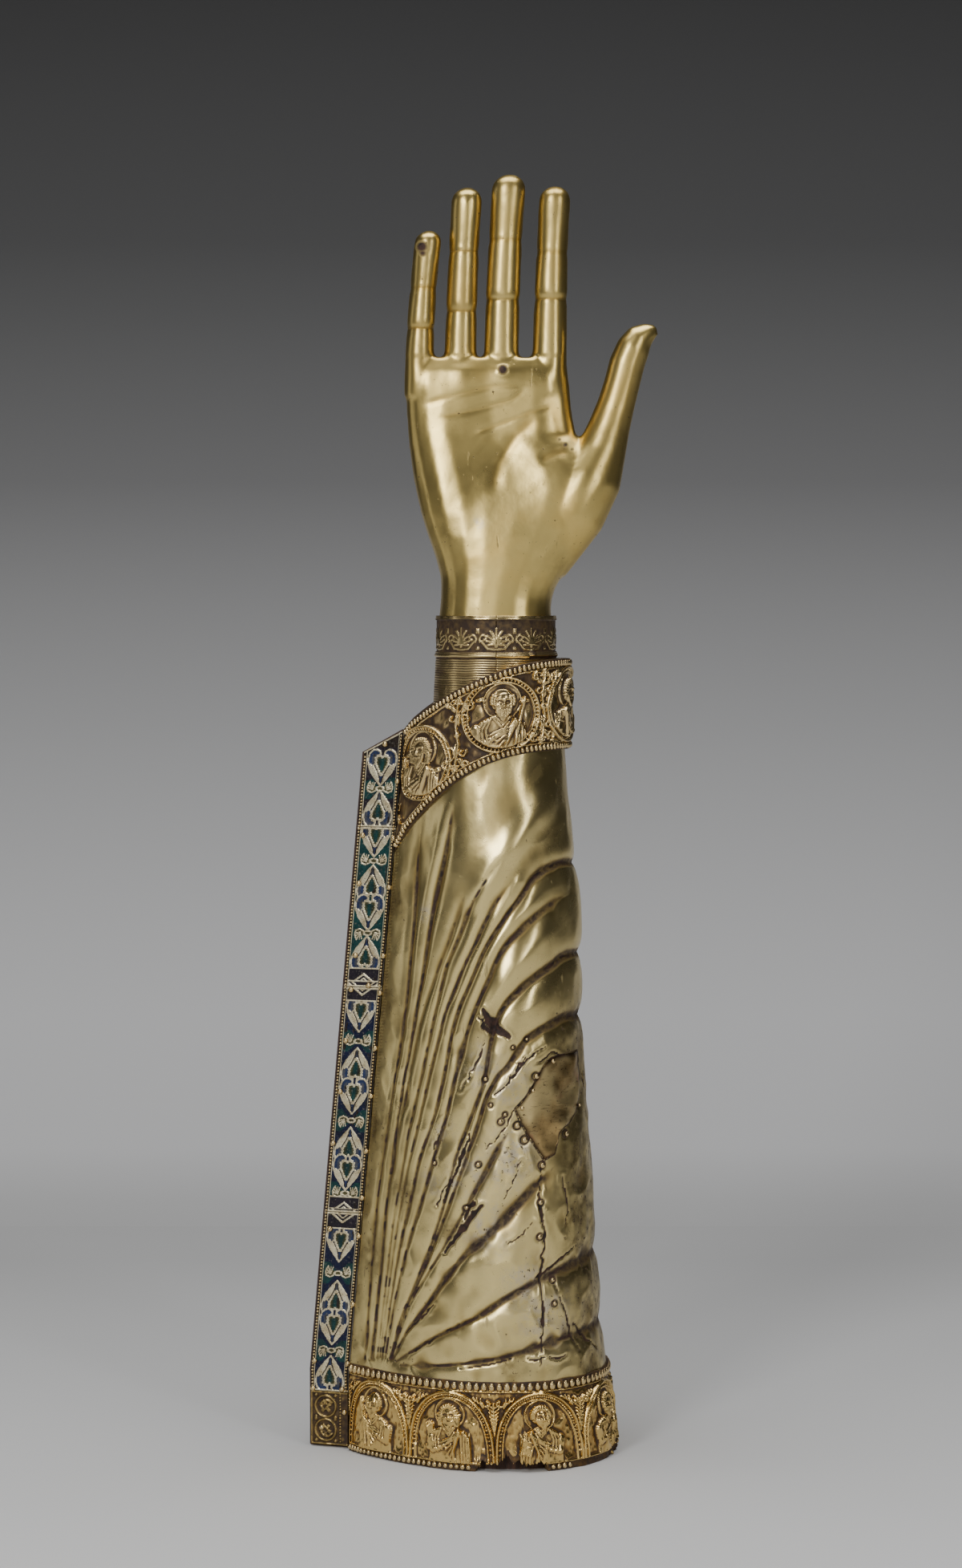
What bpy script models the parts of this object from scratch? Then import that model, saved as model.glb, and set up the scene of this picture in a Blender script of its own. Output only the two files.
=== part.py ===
"""Arm reliquary: a gilt silver hand and draped sleeve over an oak core, with relief
bands at the foot and at the mouth of the sleeve and an enamelled border strip.

Frame: the palm looks toward -Y, the border strip runs down the -X side, +Z is up.
The origin is under the middle of the foot. All sizes are in metres.
"""
import math

import bpy
import numpy as np

# Whole object
HEIGHT = 0.510
GAP = 0.0003

# Sleeve: the plain outline that all of its pieces follow
FOOT_BAND_TOP = 0.035
RIM_Z = 0.318
RIM_LOW_Z = 0.2822
RIM_RIGHT_X = 0.0345
RIM_REACH = 0.0700
RIM_DROP = 0.03275
RIM_LOW_DROP = 0.04301
RIGHT_TOP_X = 0.0338
RIGHT_FLARE = 0.0157
AXIS_FOOT_X = 0.011
AXIS_TOP_X = 0.005
DEPTH_TOP = 0.0300
DEPTH_FLARE = 0.0112
SHEET = 0.0022

# Border strip on the left side
STRIP_KINK_Z = 0.0306
JOINT_X = -0.0531
JOINT_LEAN = 0.0883
JOINT_TOP_Z = 0.2890
EDGE_X = -0.0694
EDGE_LEAN = 0.0873
EDGE_TOP_Z = 0.2807
JOINT_HALF = 0.0055
EDGE_HALF = 0.0025
EDGE_SHIFT = 0.0025
PLATE = 0.0012
PLATE_BORDER = 0.0016
PLATE_FOOT_Z = 0.0010
PLATE_TOPS = (0.0228, 0.0955, 0.1864, 0.2507)

# Relief bands
BAND_GROUND = 0.0012
BAND_RELIEF = 0.0026
BAND_FLARE = 0.0010
FOOT_ARCHES = 8
MEDALLION_PITCH = 0.0330
MEDALLION_R = 0.0140
MEDALLION_FIRST = 0.0140
MOUTH_MID_Z = 0.3000
FOOT_MID_Z = 0.0150
SLEEVE_MID_Z = 0.1500
LOSS_X = (-0.002, 0.026)
LOSS_Z = 0.0038

# Wrist cuff
WRIST_X = 0.006
CUFF_R_TOP = 0.0230
CUFF_R_LOW = 0.0246
CUFF_BAND_Z = 0.3195
CUFF_RING_STEP = 0.0060
CUFF_FOOT_Z = 0.2850
WRIST_Z = 0.3333
MOUTH_DROP = 0.0025
MOUTH_SHEET = 0.0010

# Hand
FINGER_DEPTH = 0.0118
FINGERS = {
    "little": ((-0.0236, 0.4555), (-0.0205, HEIGHT - 0.0222), 0.0118, 0.0104),
    "ring": ((-0.0076, 0.4600), (-0.0053, HEIGHT - 0.0052), 0.0130, 0.0119),
    "middle": ((0.0088, 0.4640), (0.0114, HEIGHT), 0.0141, 0.0133),
    "index": ((0.0278, 0.4640), (0.0295, HEIGHT - 0.0047), 0.0142, 0.0121),
}

# Repair plate on the right of the sleeve
PATCH_X = 0.0262
PATCH_Z = 0.1428
PATCH_HALF_X = 0.0122
PATCH_HALF_Z = 0.0210
PATCH_SHEET = 0.0008


def clear_scene():
    for item in list(bpy.data.objects):
        bpy.data.objects.remove(item, do_unlink=True)


def collection(name):
    group = bpy.data.collections.new(name)
    bpy.context.scene.collection.children.link(group)
    return group


def material(name, colour, roughness, metallic):
    mat = bpy.data.materials.new(name)
    mat.use_nodes = True
    shader = mat.node_tree.nodes["Principled BSDF"]
    shader.inputs["Base Color"].default_value = (*colour, 1.0)
    shader.inputs["Roughness"].default_value = roughness
    shader.inputs["Metallic"].default_value = metallic
    mat.diffuse_color = (*colour, 1.0)
    return mat


def mesh_object(name, verts, faces, group, mat, smooth_angle=40.0):
    mesh = bpy.data.meshes.new(name)
    mesh.from_pydata([tuple(float(c) for c in v) for v in verts], [], faces)
    mesh.validate()
    obj = bpy.data.objects.new(name, mesh)
    group.objects.link(obj)
    if mat is not None:
        mesh.materials.append(mat)
    mesh.shade_smooth()
    mesh.set_sharp_from_angle(angle=math.radians(smooth_angle))
    return obj


# Outline of the sleeve at a height: a rounded right side and a left side that
# runs out to the strip. The angle runs from pi at the strip to 0 at the right.

def right_x(z):
    q = np.clip((RIM_LOW_Z - z) / (RIM_LOW_Z - FOOT_BAND_TOP), 0.0, None)
    return RIGHT_TOP_X + RIGHT_FLARE * q ** 1.25


def axis_x(z):
    return AXIS_FOOT_X + (AXIS_TOP_X - AXIS_FOOT_X) * z / RIM_LOW_Z


def depth(z):
    q = np.clip((RIM_LOW_Z - z) / (RIM_LOW_Z - FOOT_BAND_TOP), 0.0, None)
    return DEPTH_TOP + DEPTH_FLARE * q ** 0.9


def joint_x(z):
    return JOINT_X + JOINT_LEAN * np.clip(z - STRIP_KINK_Z, 0.0, None)


def edge_x(z):
    return EDGE_X + EDGE_LEAN * np.clip(z - STRIP_KINK_Z, 0.0, None)


def base_point(alpha, z):
    c = np.cos(alpha)
    right = c > 0
    mid = axis_x(z)
    reach = np.where(right, right_x(z) - mid, mid - joint_x(z))
    x = mid + reach * c
    deep = depth(z)
    round_part = deep * np.clip(1 - np.abs(c) ** 2.1, 0, 1) ** (1 / 2.1)
    sharp_part = JOINT_HALF + (deep - JOINT_HALF) * np.clip(1 - c * c, 0, 1)
    return x, np.where(right, round_part, sharp_part)


def base_normal(alpha, z):
    step = 0.004
    low = np.clip(alpha - step, 0.0, math.pi)
    high = np.clip(alpha + step, 0.0, math.pi)
    xa, ya = base_point(low, z)
    xb, yb = base_point(high, z)
    ya = np.where(alpha - step < 0, -base_point(step - alpha, z)[1], ya)
    xa = np.where(alpha - step < 0, base_point(step - alpha, z)[0], xa)
    dx, dy = xa - xb, ya - yb
    size = np.hypot(dx, dy) + 1e-12
    # at the strip the offset runs straight out, so that the sheet ends on a flat edge
    ease = np.clip((1 + np.cos(alpha)) / 0.12, 0, 1)
    nx, ny = -dy / size * ease, dx / size * ease + (1 - ease)
    size = np.hypot(nx, ny) + 1e-12
    return nx / size, ny / size


ANGLES = np.linspace(math.pi, 0.0, 241)
LEVELS = np.linspace(0.0, RIM_Z + 0.012, 67)
_TX, _TY = base_point(ANGLES[None, :], LEVELS[:, None])
_ARC = np.concatenate([np.zeros((len(LEVELS), 1)),
                       np.cumsum(np.hypot(np.diff(_TX), np.diff(_TY)), axis=1)], axis=1)


def arc_length(alpha, z):
    """Distance along the outline from the strip to the angle, at a height."""
    a = np.clip((math.pi - alpha) / math.pi, 0, 1) * (len(ANGLES) - 1)
    h = np.clip(z / LEVELS[-1], 0, 1) * (len(LEVELS) - 1)
    i = np.minimum(a.astype(int), len(ANGLES) - 2)
    j = np.minimum(h.astype(int), len(LEVELS) - 2)
    fa, fh = a - i, h - j
    low = _ARC[j, i] * (1 - fa) + _ARC[j, i + 1] * fa
    high = _ARC[j + 1, i] * (1 - fa) + _ARC[j + 1, i + 1] * fa
    return low * (1 - fh) + high * fh


def half_length(z):
    return np.interp(z, LEVELS, _ARC[:, -1])


def even_angles(count, z):
    """Angles that divide half of the outline into equal lengths."""
    row = int(round(z / LEVELS[-1] * (len(LEVELS) - 1)))
    arc = _ARC[row]
    return np.interp(np.linspace(0, arc[-1], count), arc, ANGLES)


def rim_z(x):
    d = np.clip(RIM_RIGHT_X - x, 0, None)
    return RIM_Z - RIM_DROP * (d / RIM_REACH) ** 2.1


def rim_low_z(x):
    d = np.clip(RIM_RIGHT_X - x, 0, None)
    return RIM_LOW_Z - RIM_LOW_DROP * (d / RIM_REACH) ** 2.674


def strip_top_z(x):
    """The strip's own top edge slopes straight down to its outer corner."""
    joint_top = rim_z(joint_x(JOINT_TOP_Z))
    share = (x - edge_x(EDGE_TOP_Z)) / (joint_x(JOINT_TOP_Z) - edge_x(EDGE_TOP_Z))
    return EDGE_TOP_Z + (joint_top - EDGE_TOP_Z) * share


def level_on(alpha, level):
    """The height at which a line up the outline meets a rim given by x."""
    z = np.full(np.shape(alpha), 0.5 * (RIM_Z + RIM_LOW_Z))
    for _ in range(12):
        z = 0.5 * z + 0.5 * level(base_point(alpha, z)[0])
    return z


# Drapery folds: each is a curve over the front, from its upper end down to the
# fan at the strip's foot, with its width at both ends and its height.

FOLDS = (
    ((-0.0123, 0.264), (-0.0267, 0.197), (-0.0368, 0.128), (-0.0444, 0.044), 0.0030, 0.0016),
    ((0.0041, 0.249), (-0.0187, 0.191), (-0.0327, 0.126), (-0.0427, 0.043), 0.0036, 0.0022),
    ((0.0189, 0.244), (-0.0057, 0.208), (-0.0269, 0.133), (-0.0403, 0.043), 0.0040, 0.0021),
    ((0.0316, 0.239), (0.0019, 0.209), (-0.0198, 0.127), (-0.0380, 0.043), 0.0042, 0.0019),
    ((0.0372, 0.231), (0.0085, 0.207), (-0.0097, 0.137), (-0.0360, 0.043), 0.0056, 0.0023),
    ((0.0388, 0.212), (0.0136, 0.191), (0.0000, 0.135), (-0.0337, 0.044), 0.0072, 0.0023),
    ((0.0401, 0.191), (0.0157, 0.168), (-0.0031, 0.113), (-0.0314, 0.045), 0.0070, 0.0019),
    ((0.0408, 0.172), (0.0223, 0.152), (0.0040, 0.109), (-0.0294, 0.047), 0.0056, 0.0014),
    ((0.0430, 0.135), (0.0155, 0.113), (-0.0125, 0.080), (-0.0288, 0.050), 0.0064, 0.0014),
    ((0.0446, 0.109), (0.0245, 0.096), (-0.0006, 0.074), (-0.0288, 0.046), 0.0080, 0.0020),
    ((0.0470, 0.081), (0.0282, 0.074), (0.0031, 0.060), (-0.0297, 0.043), 0.0064, 0.0016),
    ((0.0476, 0.062), (0.0213, 0.059), (-0.0038, 0.051), (-0.0282, 0.041), 0.0056, 0.0014),
    ((0.0485, 0.048), (0.0282, 0.048), (0.0000, 0.044), (-0.0250, 0.039), 0.0040, 0.0008),
)
FOLD_FOOT_WIDTH = 0.0022
BACK_FOLDS = 0.6


def front_angle(x, z):
    mid = axis_x(z)
    reach = np.where(x > mid, right_x(z) - mid, mid - joint_x(z))
    return np.arccos(np.clip((x - mid) / reach, -1, 1))


def fold_line(points, count=40):
    """A smooth curve through four points, as lengths along the outline and heights."""
    t = np.linspace(0, 1, count)
    knots = np.array([0, 1 / 3, 2 / 3, 1])
    pts = np.array(points)
    curve = np.zeros((count, 2))
    for k in range(4):
        weight = np.ones(count)
        for m in range(4):
            if m != k:
                weight *= (t - knots[m]) / (knots[k] - knots[m])
        curve += weight[:, None] * pts[k]
    x, z = curve[:, 0], curve[:, 1]
    return np.stack([arc_length(front_angle(x, z), z), z], axis=1), t


def folds(length, z, share):
    """Height of the drapery over the plain outline."""
    total = np.zeros(np.shape(length))
    for *points, width, height in FOLDS:
        line, t = fold_line(points)
        best = np.full(np.shape(length), 1.0)
        where = np.zeros(np.shape(length))
        for k in range(len(line) - 1):
            ax, az = line[k]
            bx, bz = line[k + 1]
            dx, dz = bx - ax, bz - az
            s = np.clip(((length - ax) * dx + (z - az) * dz) / (dx * dx + dz * dz), 0, 1)
            gap = np.hypot(length - ax - s * dx, z - az - s * dz)
            near = gap < best
            best = np.where(near, gap, best)
            where = np.where(near, t[k] + s / (len(line) - 1), where)
        wide = width + (FOLD_FOOT_WIDTH - width) * where ** 0.8
        swell = height * (0.55 + 0.45 * np.sin(math.pi * np.clip(where * 1.1, 0, 1)))
        shape = swell * np.clip(1 - (best / wide) ** 2, 0, 1) ** 0.9
        total = np.maximum(total, shape)
    return total * share


def patch_mask(x, z):
    """One inside the seat of the repair plate, falling to nothing around it."""
    r = np.hypot((x - PATCH_X) / (PATCH_HALF_X * 1.3), (z - PATCH_Z) / (PATCH_HALF_Z * 1.2))
    return np.clip((1.35 - r) / 0.35, 0, 1)


# Building solids from rows of points

def quads(rows, cols, start, flip):
    out = []
    for i in range(rows - 1):
        for j in range(cols - 1):
            a = start + i * cols + j
            face = (a, a + 1, a + cols + 1, a + cols)
            out.append(face[::-1] if flip else face)
    return out


def zip_faces(line_a, line_b, flip):
    """Triangles between two lines of points that hold unlike counts."""
    out = []
    i = j = 0
    na, nb = len(line_a) - 1, len(line_b) - 1
    while i < na or j < nb:
        if j >= nb or (i < na and (i + 1) / na <= (j + 1) / nb):
            face = (line_a[i], line_a[i + 1], line_b[j])
            i += 1
        else:
            face = (line_a[i], line_b[j + 1], line_b[j])
            j += 1
        out.append(face[::-1] if flip else face)
    return out


def skin(name, outer, inner, group, mat, angle=40.0):
    """A closed sheet between an outer and an inner grid (rows, columns, xyz)."""
    ro, cols, _ = outer.shape
    ri = inner.shape[0]
    verts = list(outer.reshape(-1, 3)) + list(inner.reshape(-1, 3))
    base = ro * cols
    faces = quads(ro, cols, 0, False) + quads(ri, cols, base, True)
    for j in range(cols - 1):
        faces.append((base + j, base + j + 1, j + 1, j))
        top_o = (ro - 1) * cols + j
        top_i = base + (ri - 1) * cols + j
        faces.append((top_o, top_o + 1, top_i + 1, top_i))
    for col, flip in ((0, False), (cols - 1, True)):
        line_o = [i * cols + col for i in range(ro)]
        line_i = [base + i * cols + col for i in range(ri)]
        faces += zip_faces(line_o, line_i, flip)
    return mesh_object(name, verts, faces, group, mat, angle)


def ring_angles(front, back, z):
    """Angles once round from the front joint to the back joint, with their sides."""
    first = even_angles(front, z)
    second = even_angles(back, z)[::-1]
    angle = np.concatenate([first, second[1:]])
    side = np.concatenate([-np.ones(len(first)), np.ones(len(second) - 1)])
    side[len(first) - 1] = 0.0
    return angle, side


def place(alpha, side, z, offset):
    """A point on the outline, moved out along its normal, on its own side."""
    x, y = base_point(alpha, z)
    nx, ny = base_normal(alpha, z)
    sign = np.where(side > 0, 1.0, -1.0)
    nx = np.where(side == 0, 1.0, nx)
    ny = np.where(side == 0, 0.0, ny)
    return np.stack([x + nx * offset, sign * (y + ny * offset), z + 0 * x], axis=-1)


def sleeve_sheet(group, mat):
    alpha, side = ring_angles(34, 18, SLEEVE_MID_Z)
    top = level_on(alpha, rim_low_z) - 3 * GAP
    low = FOOT_BAND_TOP + GAP

    def grid(rows, offset):
        v = np.linspace(0, 1, rows)[:, None]
        z = low + (top - low)[None, :] * v
        a = np.repeat(alpha[None, :], rows, axis=0)
        s = np.repeat(side[None, :], rows, axis=0)
        return place(a, s, z, offset(a, s, z))

    def outer(a, s, z):
        x, _ = base_point(a, z)
        share = np.where(s > 0, BACK_FOLDS, 1.0)
        share = np.where(s == 0, (1 + BACK_FOLDS) / 2, share)
        seat = np.where(s <= 0, 1 - patch_mask(x, z), 1.0)
        return folds(arc_length(a, z), z, share) * seat

    return skin("sleeve_sheet", grid(19, outer), grid(7, lambda a, s, z: -SHEET + 0 * z),
                group, mat, 60.0)


def strip_face(share, z, rise, back=False):
    """A point on the strip's front or back face: share 0 at the edge, 1 at the joint."""
    ex, jx = edge_x(z), joint_x(z)
    sign = 1.0 if back else -1.0
    ey = EDGE_SHIFT + sign * EDGE_HALF
    jy = sign * JOINT_HALF
    dx, dy = jx - ex, jy - ey
    size = np.hypot(dx, dy)
    nx, ny = dy / size * -sign, dx / size * sign
    x = ex + dx * share + nx * rise
    y = ey + dy * share + ny * rise
    return np.stack([x, y, z + 0 * x], axis=-1)


def level_share(top, share):
    """The foot where share is None, the top where it is 2, else a height between
    the strip's bend and the level at which the sleeve stops tapering."""
    if share is None:
        return 0 * top
    if share > 1:
        return top
    taper_end = np.minimum(top - 0.003, RIM_LOW_Z)
    return STRIP_KINK_Z + (taper_end - STRIP_KINK_Z) * share


def oak_core(group, mat):
    alpha, side = ring_angles(19, 19, SLEEVE_MID_Z)
    inset = SHEET + 1.5 * GAP
    drop = MOUTH_DROP + MOUTH_SHEET + GAP
    top = level_on(alpha, rim_z) - drop
    rows = []
    for v in (None, 0.0, 0.20, 0.48, 0.78, 1.0, 2.0):
        z = level_share(top, v)
        body = place(alpha, side, z, -inset)
        edge_z = level_share(np.array([EDGE_TOP_Z - 0.0003]), v)
        joint_z = level_share(np.array([strip_top_z(joint_x(JOINT_TOP_Z)) - 0.0006]), v)
        rise = -(PLATE + GAP)
        front_edge = strip_face(0.0, edge_z, rise)
        front_joint = strip_face(0.93, joint_z, rise)
        back_joint = strip_face(0.93, joint_z, rise, True)
        back_edge = strip_face(0.0, edge_z, rise, True)
        rows.append(np.concatenate([front_edge, front_joint, body, back_joint, back_edge]))
    grid = np.array(rows)
    count = grid.shape[1]
    verts = list(grid.reshape(-1, 3))
    faces = []
    for i in range(len(rows) - 1):
        for j in range(count):
            k = (j + 1) % count
            a, b = i * count + j, i * count + k
            faces.append((a, b, b + count, a + count))
    last = (len(rows) - 1) * count
    for j in range(count // 2 - 1):
        k = count - 1 - j
        faces.append((j, k, k - 1, j + 1))
        faces.append((last + j, last + j + 1, last + k - 1, last + k))
    mid = count // 2
    if count % 2:
        faces.append((mid - 1, mid + 1, mid))
        faces.append((last + mid - 1, last + mid, last + mid + 1))
    return mesh_object("oak_core", verts, faces, group, mat, 30.0)


def mouth_sheet(group, mat):
    """The flat sheet that closes the sleeve's mouth around the cuff."""
    alpha, side = ring_angles(13, 13, MOUTH_MID_Z)
    top = level_on(alpha, rim_z) - MOUTH_DROP
    rows = [place(alpha, side, top - MOUTH_SHEET, -SHEET - GAP),
            place(alpha, side, top, -SHEET - GAP)]
    grid = np.array(rows)
    count = grid.shape[1]
    faces = []
    for j in range(count):
        k = (j + 1) % count
        faces.append((j, k, k + count, j + count))
    mid = count // 2
    for j in range(mid - 1):
        k = count - 1 - j
        faces.append((j, k, k - 1, j + 1))
        faces.append((count + j, count + j + 1, count + k - 1, count + k))
    faces.append((mid - 1, mid + 1, mid))
    faces.append((count + mid - 1, count + mid, count + mid + 1))
    return mesh_object("mouth_sheet", list(grid.reshape(-1, 3)), faces, group, mat, 30.0)


# Relief on the bands, as a share of the full relief height

def bump(distance, reach):
    return np.clip(1 - (distance / reach) ** 2, 0, 1)


def figure(dx, dz, half):
    """A half figure: shoulders, a folded arm and a head with a round face."""
    head = bump(np.hypot(dx * 1.15, dz - 0.50 * half), 0.33 * half) ** 0.5
    body_top = -0.02 * half - 0.9 * np.abs(dx) ** 1.5 / half ** 0.5
    body = np.clip((body_top - dz) / (0.25 * half), 0, 1)
    body *= np.clip((0.72 * half - np.abs(dx)) / (0.2 * half), 0, 1)
    arm = bump(np.abs(dz + 0.45 * half + 0.35 * dx), 0.16 * half)
    arm *= (np.abs(dx) < 0.5 * half)
    return np.maximum(head, np.maximum(0.75 * body, body * (0.75 + 0.3 * arm)))


def foot_relief(length, z, total):
    """Round arches on the foot band, each over a half figure, with leaves between."""
    pitch = total / FOOT_ARCHES
    dx = (length + 0 * z) % pitch - pitch / 2
    half = pitch / 2
    spring = 0.5 * FOOT_BAND_TOP
    r = np.hypot(dx, (z - spring) * 1.12)
    arch = bump(r - 0.90 * half, 0.11 * half)
    leg = bump(np.abs(dx) - 0.93 * half, 0.12 * half)
    line = np.where(z > spring, arch, leg)
    leaf = bump(np.hypot(half - np.abs(dx), (z - 0.82 * FOOT_BAND_TOP) * 0.8), 0.2 * half)
    shape = figure(dx, z - 0.42 * FOOT_BAND_TOP, half * 0.82)
    shape = np.where(r < 0.86 * half, shape, np.where(z < spring, shape, 0))
    out = np.maximum(np.maximum(0.55 * line, 0.7 * leaf), shape)
    edge = np.minimum(z, FOOT_BAND_TOP - z)
    return np.maximum(out, 0.9 * bump(edge - 0.0014, 0.0022))


def mouth_relief(length, z, low, top, slope):
    """Round medallions on the mouth band, each with a half figure, scrolls between."""
    middle = 0.5 * (low + top)
    out = np.zeros(np.shape(length))
    for k in range(5):
        centre = MEDALLION_FIRST + k * MEDALLION_PITCH
        # the middle line falls toward the strip, so each medallion sits on it
        near = np.abs(length - centre) < MEDALLION_PITCH / 2
        dx = length - centre
        dz = z - middle + slope * dx
        r = np.hypot(dx, dz)
        ring = bump(r - MEDALLION_R, 0.0022)
        person = np.where(r < MEDALLION_R * 0.92, figure(dx, dz, MEDALLION_R), 0)
        out = np.where(near, np.maximum(out, np.maximum(0.55 * ring, person)), out)
        side = length - centre - MEDALLION_PITCH / 2
        for up in (-1, 1):
            dot = bump(np.hypot(side, z - middle - up * 0.0085), 0.0040)
            out = np.maximum(out, 0.6 * dot)
    edge = np.minimum(z - low, top - z)
    return np.maximum(out, 0.9 * bump(edge - 0.0016, 0.0024))


def foot_band(group, mat):
    per_arch = 9
    front = FOOT_ARCHES // 2 * per_arch + 1
    alpha, side = ring_angles(front, front, FOOT_MID_Z)
    half = float(half_length(FOOT_MID_Z))
    share = np.array([0, 0.07, 0.16, 0.28, 0.40, 0.53, 0.66, 0.80, 0.92, 1.0])[:, None]
    x0, _ = base_point(alpha, np.zeros(len(alpha)))
    ease = np.clip((x0 - LOSS_X[0]) / 0.002, 0, 1) * np.clip((LOSS_X[1] - x0) / 0.002, 0, 1)
    low = np.where(side < 0, LOSS_Z * ease, 0.0)
    z = low[None, :] + (FOOT_BAND_TOP - low)[None, :] * share
    a = np.repeat(alpha[None, :], len(share), axis=0)
    s = np.repeat(side[None, :], len(share), axis=0)
    arc = arc_length(a, z)
    length = np.where(s > 0, 2 * half - arc, arc)
    relief = foot_relief(length, z, 2 * half)
    quiet = np.where(s > 0, 0.8, 1.0)
    flare = BAND_FLARE * (1 - z / FOOT_BAND_TOP) ** 2
    outer = place(a, s, z, BAND_GROUND + flare + BAND_RELIEF * relief * quiet)
    ends = z[[0, -1]]
    inner = place(a[:2], s[:2], ends, -SHEET + 0 * ends)
    return skin("lower_apostle_band", outer, inner, group, mat, 50.0)


def mouth_band(group, mat):
    alpha, side = ring_angles(39, 27, MOUTH_MID_Z)
    low = level_on(alpha, rim_low_z)
    top = level_on(alpha, rim_z)
    share = np.array([0, 0.07, 0.15, 0.26, 0.38, 0.50, 0.62, 0.74, 0.85, 0.93, 1.0])[:, None]
    z = low[None, :] + (top - low)[None, :] * share
    a = np.repeat(alpha[None, :], len(share), axis=0)
    s = np.repeat(side[None, :], len(share), axis=0)
    mid = 0.5 * (low + top)
    arc_mid = arc_length(alpha, mid)
    half = float(half_length(MOUTH_MID_Z))
    run = np.where(side > 0, 2 * half - arc_mid, arc_mid)
    slope = -np.gradient(mid, run)
    arc = arc_length(a, z)
    length = np.where(s > 0, 2 * half - arc, arc)
    relief = mouth_relief(length, z, low[None, :], top[None, :], slope[None, :] * 0)
    outer = place(a, s, z, BAND_GROUND + BAND_RELIEF * relief)
    ends = z[[0, -1]]
    inner = place(a[:2], s[:2], ends, -SHEET + 0 * ends)
    return skin("upper_apostle_band", outer, inner, group, mat, 50.0)


def plate(name, low, top, group, mat, raised=None, back=False, share0=0.05, share1=0.97):
    """One plate of the border strip, with a raised border down each long side."""
    rows = 8 if raised else 2
    rim = PLATE_BORDER / 0.017
    inner_share = [share0, share0 + rim, share0 + rim + 0.02]
    far_share = [share1 - rim - 0.02, share1 - rim, share1]
    middle = list(np.linspace(inner_share[-1], far_share[0], 6)[1:-1]) if raised else []
    shares = np.array(inner_share + middle + far_share)
    high = top(shares)
    bend = np.clip(STRIP_KINK_Z - low, 0, high - low) / (high - low)
    bent = 0.0 < float(np.mean(bend)) < 1.0
    steps = [v + 0 * bend for v in np.linspace(0, 1, rows)]
    if bent:
        steps.insert(1, bend)
    outer, inner = [], []
    for k in steps:
        z = low + (high - low) * k
        rise = np.full(len(shares), 0.0002)
        rise[[0, 1, -2, -1]] = 0.0009
        if raised:
            rise += raised(shares, float(k[0]))
        outer.append(strip_face(shares, z, rise, back))
        if not raised or float(k[0]) in (0.0, 1.0):
            inner.append(strip_face(shares, z, -PLATE, back))
    outer, inner = np.array(outer), np.array(inner)
    if back:
        outer, inner = outer[:, ::-1], inner[:, ::-1]
    return skin(name, outer, inner, group, mat, 30.0)


def scroll_relief(share, k):
    r = np.hypot((share - 0.5) * 0.017, (k - 0.5) * PLATE_TOPS[0])
    ring = bump(r - 0.0055, 0.0018)
    leaf = bump(r, 0.0028)
    return 0.0010 * np.maximum(ring, leaf) * (0 < k < 1)


def strip_plates(group, enamel, gilt):
    def flat(level):
        return lambda share: level + 0 * share

    def slanted(share):
        z = np.full(np.shape(share), EDGE_TOP_Z)
        for _ in range(4):
            z = strip_top_z(edge_x(z) + (joint_x(z) - edge_x(z)) * share) - 2 * GAP
        return z

    corner = plate("corner_scroll_plaque", PLATE_FOOT_Z, flat(PLATE_TOPS[0] - GAP), group, gilt,
                   scroll_relief)
    names = ("enamel_plaque_4", "enamel_plaque_3", "enamel_plaque_2", "enamel_plaque_1")
    tops = [flat(t - GAP) for t in PLATE_TOPS[1:]] + [slanted]
    for name, low, top in zip(names, PLATE_TOPS, tops):
        plate(name, low, top, group, enamel)
    back = plate("back_border_strip", PLATE_FOOT_Z, slanted, group, gilt, None, True)
    return corner, back


def wrist_cuff(group, mat, cutters):
    """The turned collar: a plain band with a bead line over fine rings, cut aslant."""
    mesh = bpy.data.meshes.new("wrist_cuff")
    top = WRIST_Z - GAP
    ring_low = CUFF_R_LOW - 0.0004
    profile = [(0.0, top), (CUFF_R_TOP - 0.0006, top), (CUFF_R_TOP + 0.0004, top - 0.0008),
               (CUFF_R_TOP, top - 0.0016), (CUFF_R_TOP + 0.0004, CUFF_BAND_Z + 0.0016),
               (CUFF_R_TOP + 0.0012, CUFF_BAND_Z + 0.0006), (ring_low, CUFF_BAND_Z - 0.0006)]
    for k in range(1, 3):
        profile.append((CUFF_R_LOW, CUFF_BAND_Z - CUFF_RING_STEP * k))
    profile += [(CUFF_R_LOW + 0.0006, CUFF_FOOT_Z), (0.0, CUFF_FOOT_Z)]
    verts = [(r, 0.0, z) for r, z in profile]
    edges = [(i, i + 1) for i in range(len(verts) - 1)]
    mesh.from_pydata(verts, edges, [])
    obj = bpy.data.objects.new("wrist_cuff", mesh)
    obj.location = (WRIST_X, 0.0, 0.0)
    group.objects.link(obj)
    mesh.materials.append(mat)
    screw = obj.modifiers.new("Screw", "SCREW")
    screw.axis = "Z"
    screw.steps = 36
    screw.render_steps = 36
    screw.use_merge_vertices = True
    screw.merge_threshold = 0.00001
    cut = obj.modifiers.new("Aslant", "BOOLEAN")
    cut.operation = "DIFFERENCE"
    cut.solver = "EXACT"
    cut.object = cutters
    return obj


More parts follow.
